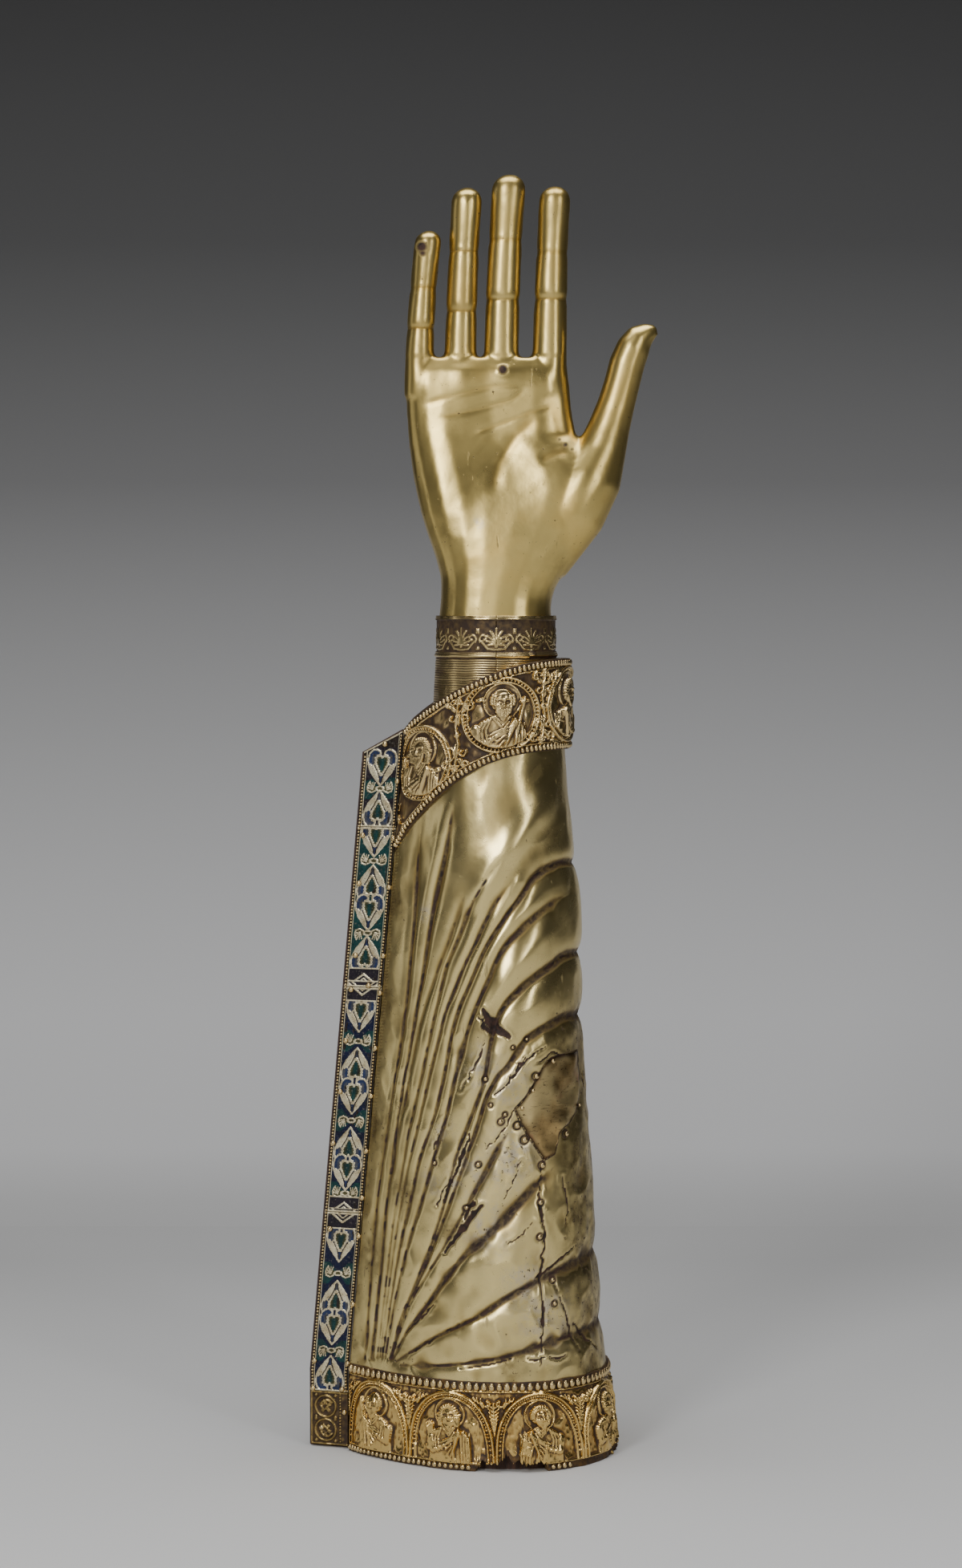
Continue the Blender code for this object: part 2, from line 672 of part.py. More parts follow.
def mouth_cutter(group):
    """A block whose top follows the closing sheet, to cut the cuff's foot."""
    xs = np.linspace(-0.05, 0.05, 26)
    side = 0.04
    z_top = rim_z(xs) - MOUTH_DROP + GAP
    verts = []
    for x, z in zip(xs, z_top):
        verts += [(x, -side, z), (x, side, z), (x, -side, 0.20), (x, side, 0.20)]
    faces = []
    for k in range(len(xs) - 1):
        a, b = 4 * k, 4 * k + 4
        faces += [(a, b, b + 1, a + 1), (a + 2, a + 3, b + 3, b + 2),
                  (a, a + 2, b + 2, b), (a + 1, b + 1, b + 3, a + 3)]
    last = 4 * (len(xs) - 1)
    faces += [(0, 1, 3, 2), (last, last + 2, last + 3, last + 1)]
    obj = mesh_object("mouth_cutter", verts, faces, group, None)
    obj.hide_render = True
    obj.display_type = "WIRE"
    return obj


# Hand: overlapping lofts for palm, fingers and thumb, melted into one skin

def ring_loft(sections, count=24):
    """Closed loft through rings of points, each a (count, 3) array, with end caps."""
    verts = [tuple(p) for ring in sections for p in ring]
    faces = []
    for i in range(len(sections) - 1):
        for j in range(count):
            k = (j + 1) % count
            a, b = i * count + j, i * count + k
            faces.append((a, b, b + count, a + count))
    faces.append(tuple(range(count))[::-1])
    last = (len(sections) - 1) * count
    faces.append(tuple(last + j for j in range(count)))
    return verts, faces


PALM = (
    (0.325, -0.0175, 0.0285, 0.0195, 0.0190),
    (0.334, -0.0168, 0.0282, 0.0190, 0.0188),
    (0.342, -0.0160, 0.0279, 0.0185, 0.0180),
    (0.350, -0.0160, 0.0320, 0.0182, 0.0168),
    (0.358, -0.0180, 0.0377, 0.0180, 0.0156),
    (0.366, -0.0208, 0.0435, 0.0174, 0.0146),
    (0.375, -0.0236, 0.0500, 0.0162, 0.0138),
    (0.383, -0.0255, 0.0538, 0.0150, 0.0130),
    (0.391, -0.0271, 0.0530, 0.0138, 0.0124),
    (0.399, -0.0282, 0.0470, 0.0124, 0.0118),
    (0.407, -0.0291, 0.0378, 0.0112, 0.0112),
    (0.416, -0.0296, 0.0362, 0.0102, 0.0106),
    (0.425, -0.0300, 0.0354, 0.0094, 0.0098),
    (0.432, -0.0294, 0.0346, 0.0084, 0.0088),
    (0.4375, -0.0285, 0.0338, 0.0060, 0.0064),
)
THUMB = (
    (0.0240, 0.3560, 0.0110),
    (0.0360, 0.3760, 0.0138),
    (0.0440, 0.3900, 0.0124),
    (0.0482, 0.4010, 0.0098),
    (0.0510, 0.4100, 0.0084),
    (0.0538, 0.4190, 0.0075),
    (0.0560, 0.4270, 0.0072),
    (0.0580, 0.4350, 0.0072),
    (0.0606, 0.4415, 0.0068),
    (0.0632, 0.4453, 0.0058),
    (0.0668, 0.4474, 0.0040),
    (0.0700, 0.4484, 0.0018),
)


def palm_rings(count=24):
    rings = []
    for z, left, right, front, back in PALM:
        t = np.linspace(0, 2 * math.pi, count, endpoint=False)
        mid, half = 0.5 * (left + right), 0.5 * (right - left)
        x = mid + half * np.sign(np.cos(t)) * np.abs(np.cos(t)) ** 0.86
        wall = np.where(np.sin(t) < 0, front, back)
        y = wall * np.sign(np.sin(t)) * np.abs(np.sin(t)) ** 0.8
        hollow = np.exp(-((x - 0.006) / 0.015) ** 2 - ((z - 0.405) / 0.024) ** 2)
        y = np.where(np.sin(t) < 0, y + 0.0032 * hollow * np.abs(np.sin(t)), y)
        rings.append(np.stack([x, y, np.full(count, z)], axis=1))
    return rings


def finger_rings(middle, tip, wide_base, wide_tip, count=24):
    """An upright finger with a round end, its path bent through its middle point."""
    base_z = 0.422
    root_x = middle[0] - 0.35 * (tip[0] - middle[0])
    radius = 0.5 * wide_tip
    rings = []
    levels = list(np.linspace(base_z, tip[1] - radius, 14))
    levels += [tip[1] - radius * (1 - math.sin(k * math.pi / 12)) for k in range(1, 7)]
    for z in levels:
        t = (z - base_z) / (tip[1] - base_z)
        m = (middle[1] - base_z) / (tip[1] - base_z)
        x = (root_x * (t - m) * (t - 1) / m + middle[0] * t * (t - 1) / (m * (m - 1))
             + tip[0] * t * (t - m) / (1 - m))
        over = max(0.0, (z - tip[1] + radius) / radius)
        dome = math.sqrt(max(0.0004, 1 - min(over, 1.0) ** 2))
        wide = (wide_base + (wide_tip - wide_base) * t) * 0.5 * dome
        deep = 0.5 * FINGER_DEPTH * (1.06 - 0.10 * t) * dome
        a = np.linspace(0, 2 * math.pi, count, endpoint=False)
        rings.append(np.stack([x + wide * np.cos(a), deep * np.sin(a), np.full(count, z)], 1))
    return rings


def thumb_rings(count=24):
    path = np.array(THUMB)
    rings = []
    for k, (x, z, r) in enumerate(path):
        ahead = path[min(k + 1, len(path) - 1)]
        behind = path[max(k - 1, 0)]
        dx, dz = ahead[0] - behind[0], ahead[1] - behind[1]
        size = math.hypot(dx, dz)
        ux, uz = dz / size, -dx / size
        a = np.linspace(0, 2 * math.pi, count, endpoint=False)
        y = -0.0025 + 0.92 * r * np.sin(a)
        rings.append(np.stack([x + ux * r * np.cos(a), y, z + uz * r * np.cos(a)], 1))
    return rings


def hand(group, mat, cutters):
    parts = [ring_loft(palm_rings()), ring_loft(thumb_rings())]
    for values in FINGERS.values():
        parts.append(ring_loft(finger_rings(*values)))
    verts, faces = [], []
    for v, f in parts:
        start = len(verts)
        verts += v
        faces += [tuple(i + start for i in face) for face in f]
    obj = mesh_object("hand", verts, faces, group, mat, 80.0)
    melt = obj.modifiers.new("Remesh", "REMESH")
    melt.mode = "VOXEL"
    melt.voxel_size = 0.0011
    soft = obj.modifiers.new("Smooth", "SMOOTH")
    soft.factor = 0.5
    soft.iterations = 5
    fewer = obj.modifiers.new("Decimate", "DECIMATE")
    fewer.decimate_type = "COLLAPSE"
    fewer.ratio = 0.031
    fewer.use_collapse_triangulate = True
    cut = obj.modifiers.new("Wrist", "BOOLEAN")
    cut.operation = "DIFFERENCE"
    cut.solver = "EXACT"
    cut.object = cutters
    return obj


def wrist_cutter(group):
    size = 0.12
    bpy.ops.mesh.primitive_cube_add(size=size, location=(0.0, 0.0, WRIST_Z - size / 2))
    obj = bpy.context.active_object
    obj.name = "wrist_cutter"
    for old in list(obj.users_collection):
        old.objects.unlink(obj)
    group.objects.link(obj)
    obj.hide_render = True
    obj.display_type = "WIRE"
    return obj


def repair_patch(group, mat):
    """A small four-cornered plate nailed over a tear, following the sheet below."""
    corners = 5
    rays = 20
    steps = (0.0, 0.5, 1.0)
    lift = 0.0007

    def grid(offset):
        rows = []
        for step in steps[1:]:
            row = []
            for k in range(rays):
                a = 2 * math.pi * k / rays
                kite = 1 / (abs(math.cos(a)) ** 1.2 + abs(math.sin(a)) ** 1.2) ** (1 / 1.2)
                x = PATCH_X + PATCH_HALF_X * kite * step * math.cos(a)
                z = PATCH_Z + PATCH_HALF_Z * kite * step * math.sin(a)
                row.append((x, z))
            rows.append(row)
        pts = [(PATCH_X, PATCH_Z)] + [p for row in rows for p in row]
        px = np.array([p[0] for p in pts])
        pz = np.array([p[1] for p in pts])
        limit = right_x(pz) - 0.0006
        px = np.minimum(px, limit)
        alpha = front_angle(px, pz)
        return place(alpha, -np.ones(len(px)), pz, offset + 0 * px)

    outer = grid(lift + PATCH_SHEET)
    inner = grid(lift)
    count = len(outer)
    verts = list(outer) + list(inner)
    faces = []
    for k in range(rays):
        n = (k + 1) % rays
        faces.append((0, 1 + k, 1 + n))
        faces.append((count, count + 1 + n, count + 1 + k))
        a, b = 1 + k, 1 + n
        c, d = 1 + rays + k, 1 + rays + n
        faces.append((a, c, d, b))
        faces.append((count + a, count + b, count + d, count + c))
        faces.append((c, count + c, count + d, d))
    return mesh_object("repair_patch", verts, faces, group, mat, 30.0)


def build():
    clear_scene()
    group = collection("arm_reliquary")
    cutters = collection("arm_reliquary_cutters")
    gilt = material("gilt_silver", (0.72, 0.56, 0.26), 0.30, 1.0)
    gilt_hand = material("gilt_silver_hand", (0.76, 0.60, 0.28), 0.24, 1.0)
    gilt_relief = material("gilt_silver_relief", (0.62, 0.44, 0.18), 0.36, 1.0)
    gilt_cuff = material("gilt_silver_cuff", (0.68, 0.52, 0.25), 0.38, 1.0)
    copper = material("copper_patch", (0.52, 0.34, 0.20), 0.40, 1.0)
    oak = material("oak", (0.10, 0.045, 0.025), 0.75, 0.0)
    enamel = material("champleve_enamel", (0.05, 0.09, 0.20), 0.30, 0.0)
    oak_core(group, oak)
    mouth_sheet(group, gilt_cuff)
    sleeve_sheet(group, gilt)
    foot_band(group, gilt_relief)
    mouth_band(group, gilt_relief)
    strip_plates(group, enamel, gilt_relief)
    wrist_cuff(group, gilt_cuff, mouth_cutter(cutters))
    hand(group, gilt_hand, wrist_cutter(cutters))
    repair_patch(group, copper)


build()
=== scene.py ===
import math

import bmesh
import bpy
import numpy as np
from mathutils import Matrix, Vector


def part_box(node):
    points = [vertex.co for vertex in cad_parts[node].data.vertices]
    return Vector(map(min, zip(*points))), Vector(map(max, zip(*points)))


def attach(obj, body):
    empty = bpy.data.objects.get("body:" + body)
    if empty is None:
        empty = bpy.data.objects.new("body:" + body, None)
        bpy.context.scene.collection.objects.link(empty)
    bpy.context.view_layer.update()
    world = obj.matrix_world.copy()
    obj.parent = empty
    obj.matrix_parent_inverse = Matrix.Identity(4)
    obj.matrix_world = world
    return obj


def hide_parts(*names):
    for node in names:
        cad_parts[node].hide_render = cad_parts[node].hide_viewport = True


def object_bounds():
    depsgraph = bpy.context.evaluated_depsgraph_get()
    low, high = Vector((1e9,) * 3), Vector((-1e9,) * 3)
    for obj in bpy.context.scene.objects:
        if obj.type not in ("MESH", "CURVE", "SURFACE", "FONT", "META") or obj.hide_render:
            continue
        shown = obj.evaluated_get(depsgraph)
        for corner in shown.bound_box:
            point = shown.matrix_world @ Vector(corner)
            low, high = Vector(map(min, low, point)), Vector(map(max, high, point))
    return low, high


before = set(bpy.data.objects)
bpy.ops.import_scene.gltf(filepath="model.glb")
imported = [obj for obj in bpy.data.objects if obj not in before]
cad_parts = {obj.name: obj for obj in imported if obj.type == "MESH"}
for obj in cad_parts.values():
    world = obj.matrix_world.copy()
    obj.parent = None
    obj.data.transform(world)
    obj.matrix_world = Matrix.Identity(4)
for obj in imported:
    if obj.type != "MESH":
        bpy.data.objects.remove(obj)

cad_low, cad_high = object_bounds()
MM = 0.001
UP = np.array([0.0, 0.0, 1.0])

# The sleeve's plain outline, as in the part: sizes in metres
BAND_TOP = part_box("lower_apostle_band")[1][2]
RIM_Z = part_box("upper_apostle_band")[1][2]
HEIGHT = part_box("hand")[1][2]
WRIST_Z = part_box("hand")[0][2]
RIM_LOW_Z = 0.2822
RIGHT_TOP_X, RIGHT_FLARE = 0.0338, 0.0157
AXIS_FOOT_X, AXIS_TOP_X = 0.011, 0.005
DEPTH_TOP, DEPTH_FLARE = 0.0300, 0.0112
SHEET, BAND_GROUND, BAND_FLARE = 0.0022, 0.0012, 0.0010
KINK_Z = 0.0306
JOINT_X, JOINT_LEAN = -0.0531, 0.0883
EDGE_X, EDGE_LEAN, EDGE_TOP_Z = -0.0694, 0.0873, 0.2807
JOINT_HALF, EDGE_HALF, EDGE_SHIFT = 0.0055, 0.0025, 0.0025
WRIST_X = 0.006

# Camera: where the photograph was taken from, in the part's own frame, its focal length
# in pixels, and the pixel that looks straight along y
CAM_Y, CAM_Z, PIX = -1.42, 0.342, 4410.0
MID_PX, EYE_PX = 600, 739.7
STRIP_Y, PALM_Y, KNUCKLE_Y = -0.003, -0.008, -0.006
PIXEL = 0.00032


def plane_point(px, py, y=PALM_Y):
    """The point x, z seen at a pixel of the photograph, on the plane at depth y."""
    far = y - CAM_Y
    return (px - MID_PX) / PIX * far, CAM_Z - (py - EYE_PX) / PIX * far


def right_x(z):
    q = np.clip((RIM_LOW_Z - z) / (RIM_LOW_Z - BAND_TOP), 0.0, None)
    return RIGHT_TOP_X + RIGHT_FLARE * q ** 1.25


def axis_x(z):
    return AXIS_FOOT_X + (AXIS_TOP_X - AXIS_FOOT_X) * z / RIM_LOW_Z


def depth(z):
    q = np.clip((RIM_LOW_Z - z) / (RIM_LOW_Z - BAND_TOP), 0.0, None)
    return DEPTH_TOP + DEPTH_FLARE * q ** 0.9


def joint_x(z):
    return JOINT_X + JOINT_LEAN * np.clip(z - KINK_Z, 0.0, None)


def edge_x(z):
    return EDGE_X + EDGE_LEAN * np.clip(z - KINK_Z, 0.0, None)


def base_point(alpha, z):
    """Half outline of the sleeve: alpha runs from the right edge at 0 to the joint at pi."""
    c = np.cos(alpha)
    mid = axis_x(z)
    x = mid + np.where(c > 0, right_x(z) - mid, mid - joint_x(z)) * c
    deep = depth(z)
    round_part = deep * np.clip(1 - np.abs(c) ** 2.1, 0, 1) ** (1 / 2.1)
    sharp_part = JOINT_HALF + (deep - JOINT_HALF) * np.clip(1 - c * c, 0, 1)
    return x, np.where(c > 0, round_part, sharp_part)


def base_normal(alpha, z):
    """Outward normal of the half outline."""
    step = 0.004
    low = np.clip(alpha - step, 0.0, math.pi)
    high = np.clip(alpha + step, 0.0, math.pi)
    xa, ya = base_point(low, z)
    xb, yb = base_point(high, z)
    over = alpha - step < 0
    xm, ym = base_point(step - alpha, z)
    xa, ya = np.where(over, xm, xa), np.where(over, -ym, ya)
    dx, dy = xa - xb, ya - yb
    size = np.hypot(dx, dy) + 1e-12
    ease = np.clip((1 + np.cos(alpha)) / 0.12, 0, 1)
    nx, ny = -dy / size * ease, dx / size * ease + (1 - ease)
    size = np.hypot(nx, ny) + 1e-12
    return nx / size, ny / size


ANGLES = np.linspace(math.pi, 0.0, 241)
LEVELS = np.linspace(0.0, 0.33, 67)
_TX, _TY = base_point(ANGLES[None, :], LEVELS[:, None])
_ARC = np.concatenate([np.zeros((len(LEVELS), 1)),
                       np.cumsum(np.hypot(np.diff(_TX), np.diff(_TY)), axis=1)], axis=1)


def arc_length(alpha, z):
    """Distance along the half outline, from the joint."""
    a = np.clip((math.pi - alpha) / math.pi, 0, 1) * (len(ANGLES) - 1)
    h = np.clip(z / LEVELS[-1], 0, 1) * (len(LEVELS) - 1)
    i = np.minimum(a.astype(int), len(ANGLES) - 2)
    j = np.minimum(h.astype(int), len(LEVELS) - 2)
    fa, fh = a - i, h - j
    low = _ARC[j, i] * (1 - fa) + _ARC[j, i + 1] * fa
    high = _ARC[j + 1, i] * (1 - fa) + _ARC[j + 1, i + 1] * fa
    return low * (1 - fh) + high * fh


def half_length(z):
    return np.interp(z, LEVELS, _ARC[:, -1])


def angle_at(length, z):
    """The angle at a distance along the half outline, at one height."""
    row = int(round(float(z) / LEVELS[-1] * (len(LEVELS) - 1)))
    return np.interp(length, _ARC[row], ANGLES)


def even_angles(count, z):
    row = int(round(z / LEVELS[-1] * (len(LEVELS) - 1)))
    return np.interp(np.linspace(0, _ARC[row, -1], count), _ARC[row], ANGLES)


def rim_z(x):
    return RIM_Z - 8.72 * np.clip(RIGHT_TOP_X + 0.0007 - x, 0, None) ** 2.1


def rim_low_z(x):
    return RIM_LOW_Z - 52.7 * np.clip(RIGHT_TOP_X + 0.0007 - x, 0, None) ** 2.674


def level_on(alpha, level):
    """Height at which a slanting line, given by x, crosses each angle."""
    z = np.full(np.shape(alpha), 0.29)
    for _ in range(12):
        z = 0.5 * z + 0.5 * level(base_point(alpha, z)[0])
    return z


def front_angle(x, z):
    """The angle of the outline's front point at x."""
    mid = axis_x(z)
    reach = np.where(x > mid, right_x(z) - mid, mid - joint_x(z))
    return np.arccos(np.clip((x - mid) / reach, -1, 1))


def place(alpha, side, z, offset):
    """Points on the sleeve: side is -1 in front, 1 behind, 0 at the right edge."""
    x, y = base_point(alpha, z)
    nx, ny = base_normal(alpha, z)
    sign = np.where(side > 0, 1.0, -1.0)
    nx = np.where(side == 0, 1.0, nx)
    ny = np.where(side == 0, 0.0, ny)
    return np.stack([x + nx * offset, sign * (y + ny * offset), z + 0 * x], axis=-1)


def rows_of(line, rows):
    """One line of values repeated for each row of a grid."""
    return np.repeat(line[None, :], rows, axis=0)


def ring_angles(front, back, z):
    """Even angles once round the sleeve, with the side of each."""
    first = even_angles(front, z)
    second = even_angles(back, z)[::-1]
    angle = np.concatenate([first, second[1:]])
    side = np.concatenate([-np.ones(front), np.ones(back - 1)])
    side[front - 1] = 0.0
    return angle, side


def seen(px, py):
    """The point of the sleeve's front seen at a pixel of the photograph, as x and z."""
    y = -0.03
    for _ in range(8):
        x, z = plane_point(px, py, y)
        y = 0.5 * y - 0.5 * float(base_point(front_angle(np.array(x), z), np.array(z))[1])
    return x, z


def sleeve_spot(px, py):
    """A pixel's place on the sleeve, as length along the outline and height."""
    x, z = seen(px, py)
    return float(arc_length(front_angle(np.array(x), z), np.array(z))), z


def smooth(t):
    t = np.clip(t, 0, 1)
    return t * t * (3 - 2 * t)


def bump(distance, reach):
    """A rounded hill across a line, 1 on it and 0 from reach on."""
    return np.clip(1 - (distance / reach) ** 2, 0, 1)


def wavy(shape, cells, seed):
    """Smooth noise over a grid: random values on a coarse grid, blended."""
    r = np.random.default_rng(seed)
    coarse = r.standard_normal((cells[0] + 3, cells[1] + 3))
    u = np.linspace(0, cells[0], shape[0])
    v = np.linspace(0, cells[1], shape[1])
    iu, iv = u.astype(int), v.astype(int)
    fu, fv = smooth(u - iu)[:, None], smooth(v - iv)[None, :]
    a = coarse[np.ix_(iu, iv)] * (1 - fu) + coarse[np.ix_(iu + 1, iv)] * fu
    b = coarse[np.ix_(iu, iv + 1)] * (1 - fu) + coarse[np.ix_(iu + 1, iv + 1)] * fu
    return a * (1 - fv) + b * fv


def blur(h, n):
    """Box blur along both ways of a grid, run twice."""
    out = h
    for _ in range(2):
        for axis in (0, 1):
            pad = [(0, 0), (0, 0)]
            pad[axis] = (n + 1, n)
            c = np.cumsum(np.pad(out, pad, mode="edge"), axis=axis)
            lo = np.take(c, range(0, out.shape[axis]), axis=axis)
            hi = np.take(c, range(2 * n + 1, out.shape[axis] + 2 * n + 1), axis=axis)
            out = (hi - lo) / (2 * n + 1)
    return out


# Meshes

def new_object(name, verts, faces, mat, attrs=None, angle=None):
    """A smooth mesh with point attributes, linked to the scene."""
    mesh = bpy.data.meshes.new(name)
    verts = np.asarray(verts, dtype=np.float64)
    mesh.from_pydata(verts.tolist(), [], faces)
    mesh.update()
    obj = bpy.data.objects.new(name, mesh)
    bpy.context.scene.collection.objects.link(obj)
    mesh.materials.append(mat)
    mesh.shade_smooth()
    if angle:
        mesh.set_sharp_from_angle(angle=math.radians(angle))
    for key, values in (attrs or {}).items():
        values = np.asarray(values, dtype=np.float32)
        if values.ndim == 2:
            layer = mesh.attributes.new(key, "FLOAT_COLOR", "POINT")
            full = np.ones((len(verts), 4), dtype=np.float32)
            full[:len(values), :3] = values
            layer.data.foreach_set("color", full.ravel())
        else:
            layer = mesh.attributes.new(key, "FLOAT", "POINT")
            full = np.zeros(len(verts), dtype=np.float32)
            full[:len(values)] = values
            layer.data.foreach_set("value", full)
    return obj


def quads(rows, cols, start, flip):
    i, j = np.meshgrid(np.arange(rows - 1), np.arange(cols - 1), indexing="ij")
    a = (start + i * cols + j).ravel()
    f = np.stack([a, a + 1, a + cols + 1, a + cols], axis=1)
    return (f[:, ::-1] if flip else f).tolist()


def zip_faces(line_a, line_b, flip):
    out = []
    i = j = 0
    na, nb = len(line_a) - 1, len(line_b) - 1
    while i < na or j < nb:
        if j >= nb or (i < na and (i + 1) / na <= (j + 1) / nb):
            face = (line_a[i], line_a[i + 1], line_b[j])
            i += 1
        else:
            face = (line_a[i], line_b[j + 1], line_b[j])
            j += 1
        out.append(face[::-1] if flip else face)
    return out


def skin(name, outer, inner, mat, attrs=None, angle=None):
    """A closed sheet between a fine outer grid and a coarse inner one."""
    ro, cols, _ = outer.shape
    ri = inner.shape[0]
    verts = np.concatenate([outer.reshape(-1, 3), inner.reshape(-1, 3)])
    base = ro * cols
    faces = quads(ro, cols, 0, False) + quads(ri, cols, base, True)
    for j in range(cols - 1):
        faces.append((base + j, base + j + 1, j + 1, j))
        top_o = (ro - 1) * cols + j
        top_i = base + (ri - 1) * cols + j
        faces.append((top_o, top_o + 1, top_i + 1, top_i))
    for col, flip in ((0, False), (cols - 1, True)):
        line_o = [i * cols + col for i in range(ro)]
        line_i = [base + i * cols + col for i in range(ri)]
        faces += zip_faces(line_o, line_i, flip)
    flat = {k: np.asarray(v).reshape(ro * cols, -1).squeeze() for k, v in (attrs or {}).items()}
    return new_object(name, verts, faces, mat, flat, angle)


def keep(obj, slot, *nodes):
    """Attaches one piece to the root body and hides the solids of the part it stands for."""
    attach(obj, "root")
    if nodes:
        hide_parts(*nodes)
    return obj


def beads(name, spots, mat, slot, segments=10, rings=6):
    """Small domed beads: each spot is centre, three axes with their half sizes."""
    u = np.linspace(0, 2 * math.pi, segments, endpoint=False)
    v = np.linspace(-math.pi / 2, math.pi / 2, rings + 1)[1:-1]
    ball = [(0, 0, -1)] + [(math.cos(b) * math.cos(a), math.cos(b) * math.sin(a), math.sin(b))
                           for b in v for a in u] + [(0, 0, 1)]
    ball = np.array(ball)
    top = len(ball) - 1
    faces = []
    for a in range(segments):
        n = (a + 1) % segments
        faces.append((0, 1 + n, 1 + a))
        for b in range(len(v) - 1):
            p, q = 1 + b * segments + a, 1 + b * segments + n
            faces.append((p, q, q + segments, p + segments))
        p, q = 1 + (len(v) - 1) * segments + a, 1 + (len(v) - 1) * segments + n
        faces.append((p, q, top))
    verts, out = [], []
    for centre, ax, ay, az in spots:
        start = len(verts) * len(ball)
        m = np.stack([ax, ay, az])
        if np.linalg.det(m) < 0:
            m[0] = -m[0]
        verts.append(centre + ball @ m)
        out += [tuple(i + start for i in f) for f in faces]
    verts = np.concatenate(verts)
    # painted shade: each bead darkens towards its foot on the ground and stays pale on top
    tone = np.tile(np.clip(2.2 * ball[:, 2] - 1.1, -1, 0.6), len(spots))
    return keep(new_object(name, verts, out, mat, {"cavity": tone}), slot)


# Relief drawn on a grid, in millimetres: x along the band, z up, h out

class Relief:
    def __init__(self, x, z):
        self.x, self.z = x, z
        self.h = np.zeros(x.shape)

    def near(self, low_x, high_x, low_z, high_z):
        return np.nonzero((self.x > low_x) & (self.x < high_x)
                          & (self.z > low_z) & (self.z < high_z))

    def dome(self, cx, cz, rx, rz, height, base=0.0, turn=0.0, power=0.5, add=False):
        reach = max(rx, rz)
        s = self.near(cx - reach, cx + reach, cz - reach, cz + reach)
        dx, dz = self.x[s] - cx, self.z[s] - cz
        c, n = math.cos(turn), math.sin(turn)
        r = ((dx * c + dz * n) / rx) ** 2 + ((-dx * n + dz * c) / rz) ** 2
        value = height * np.clip(1 - r, 0, 1) ** power
        if add:
            self.h[s] += value
        else:
            self.h[s] = np.where(r < 1, np.maximum(self.h[s], base + value), self.h[s])

    def cord(self, pts, width, height, base=0.0, thin=1.0, add=False, power=0.5):
        pts = np.asarray(pts, float)
        lo, hi = pts.min(0) - width, pts.max(0) + width
        s = self.near(lo[0], hi[0], lo[1], hi[1])
        if len(s[0]) == 0:
            return
        best = np.full(len(s[0]), 1e9)
        where = np.zeros(len(s[0]))
        count = len(pts) - 1
        for k in range(count):
            a, b = pts[k], pts[k + 1]
            d = b - a
            t = np.clip(((self.x[s] - a[0]) * d[0] + (self.z[s] - a[1]) * d[1])
                        / (d @ d + 1e-12), 0, 1)
            gap = np.hypot(self.x[s] - a[0] - t * d[0], self.z[s] - a[1] - t * d[1])
            near = gap < best
            best = np.where(near, gap, best)
            where = np.where(near, (k + t) / count, where)
        wide = width * (1 + (thin - 1) * where)
        value = height * np.clip(1 - (best / wide) ** 2, 0, 1) ** power
        if add:
            self.h[s] += value
        else:
            self.h[s] = np.where(best < wide, np.maximum(self.h[s], base + value), self.h[s])

    def ring(self, cx, cz, r, width, height):
        s = self.near(cx - r - width, cx + r + width, cz - r - width, cz + r + width)
        d = np.abs(np.hypot(self.x[s] - cx, self.z[s] - cz) - r)
        value = height * np.clip(1 - (d / width) ** 2, 0, 1) ** 0.5
        self.h[s] = np.maximum(self.h[s], value)

    def dots(self, pts, r, height, base=0.0):
        for x, z in pts:
            self.dome(x, z, r, r, height, base)

    def leaf(self, x, z, length, wide, turn, height, lobes=3):
        """A ribbed leaf of overlapping lobes that runs out from its root."""
        c, n = math.cos(turn), math.sin(turn)
        self.dome(x + 0.5 * length * c, z + 0.5 * length * n, 0.5 * length, wide * 0.5,
                  height, turn=turn, power=0.6)
        for k in range(lobes):
            t = (k + 0.7) / (lobes + 0.4)
            for s in (-1, 1):
                a = turn + s * 0.75
                lx = x + length * t * c + math.cos(a) * wide * 0.34
                lz = z + length * t * n + math.sin(a) * wide * 0.34
                self.dome(lx, lz, wide * 0.36, wide * 0.17, height * 0.85, turn=a, power=0.6)
        self.cord([(x, z), (x + length * 0.9 * c, z + length * 0.9 * n)], 0.35, -0.35,
                  add=True)

    def curl(self, x, z, r, start, sweep, width, height, shrink=0.25):
        """A spiral stem that winds in from its outer end."""
        t = np.linspace(0, 1, 26)
        a = start + sweep * t
        rad = r * (1 + (shrink - 1) * t)
        pts = np.stack([x + rad * np.cos(a), z + rad * np.sin(a)], axis=1)
        self.cord(pts, width, height, thin=0.75)
        self.dome(pts[-1][0], pts[-1][1], width * 1.4, width * 1.4, height * 1.1)


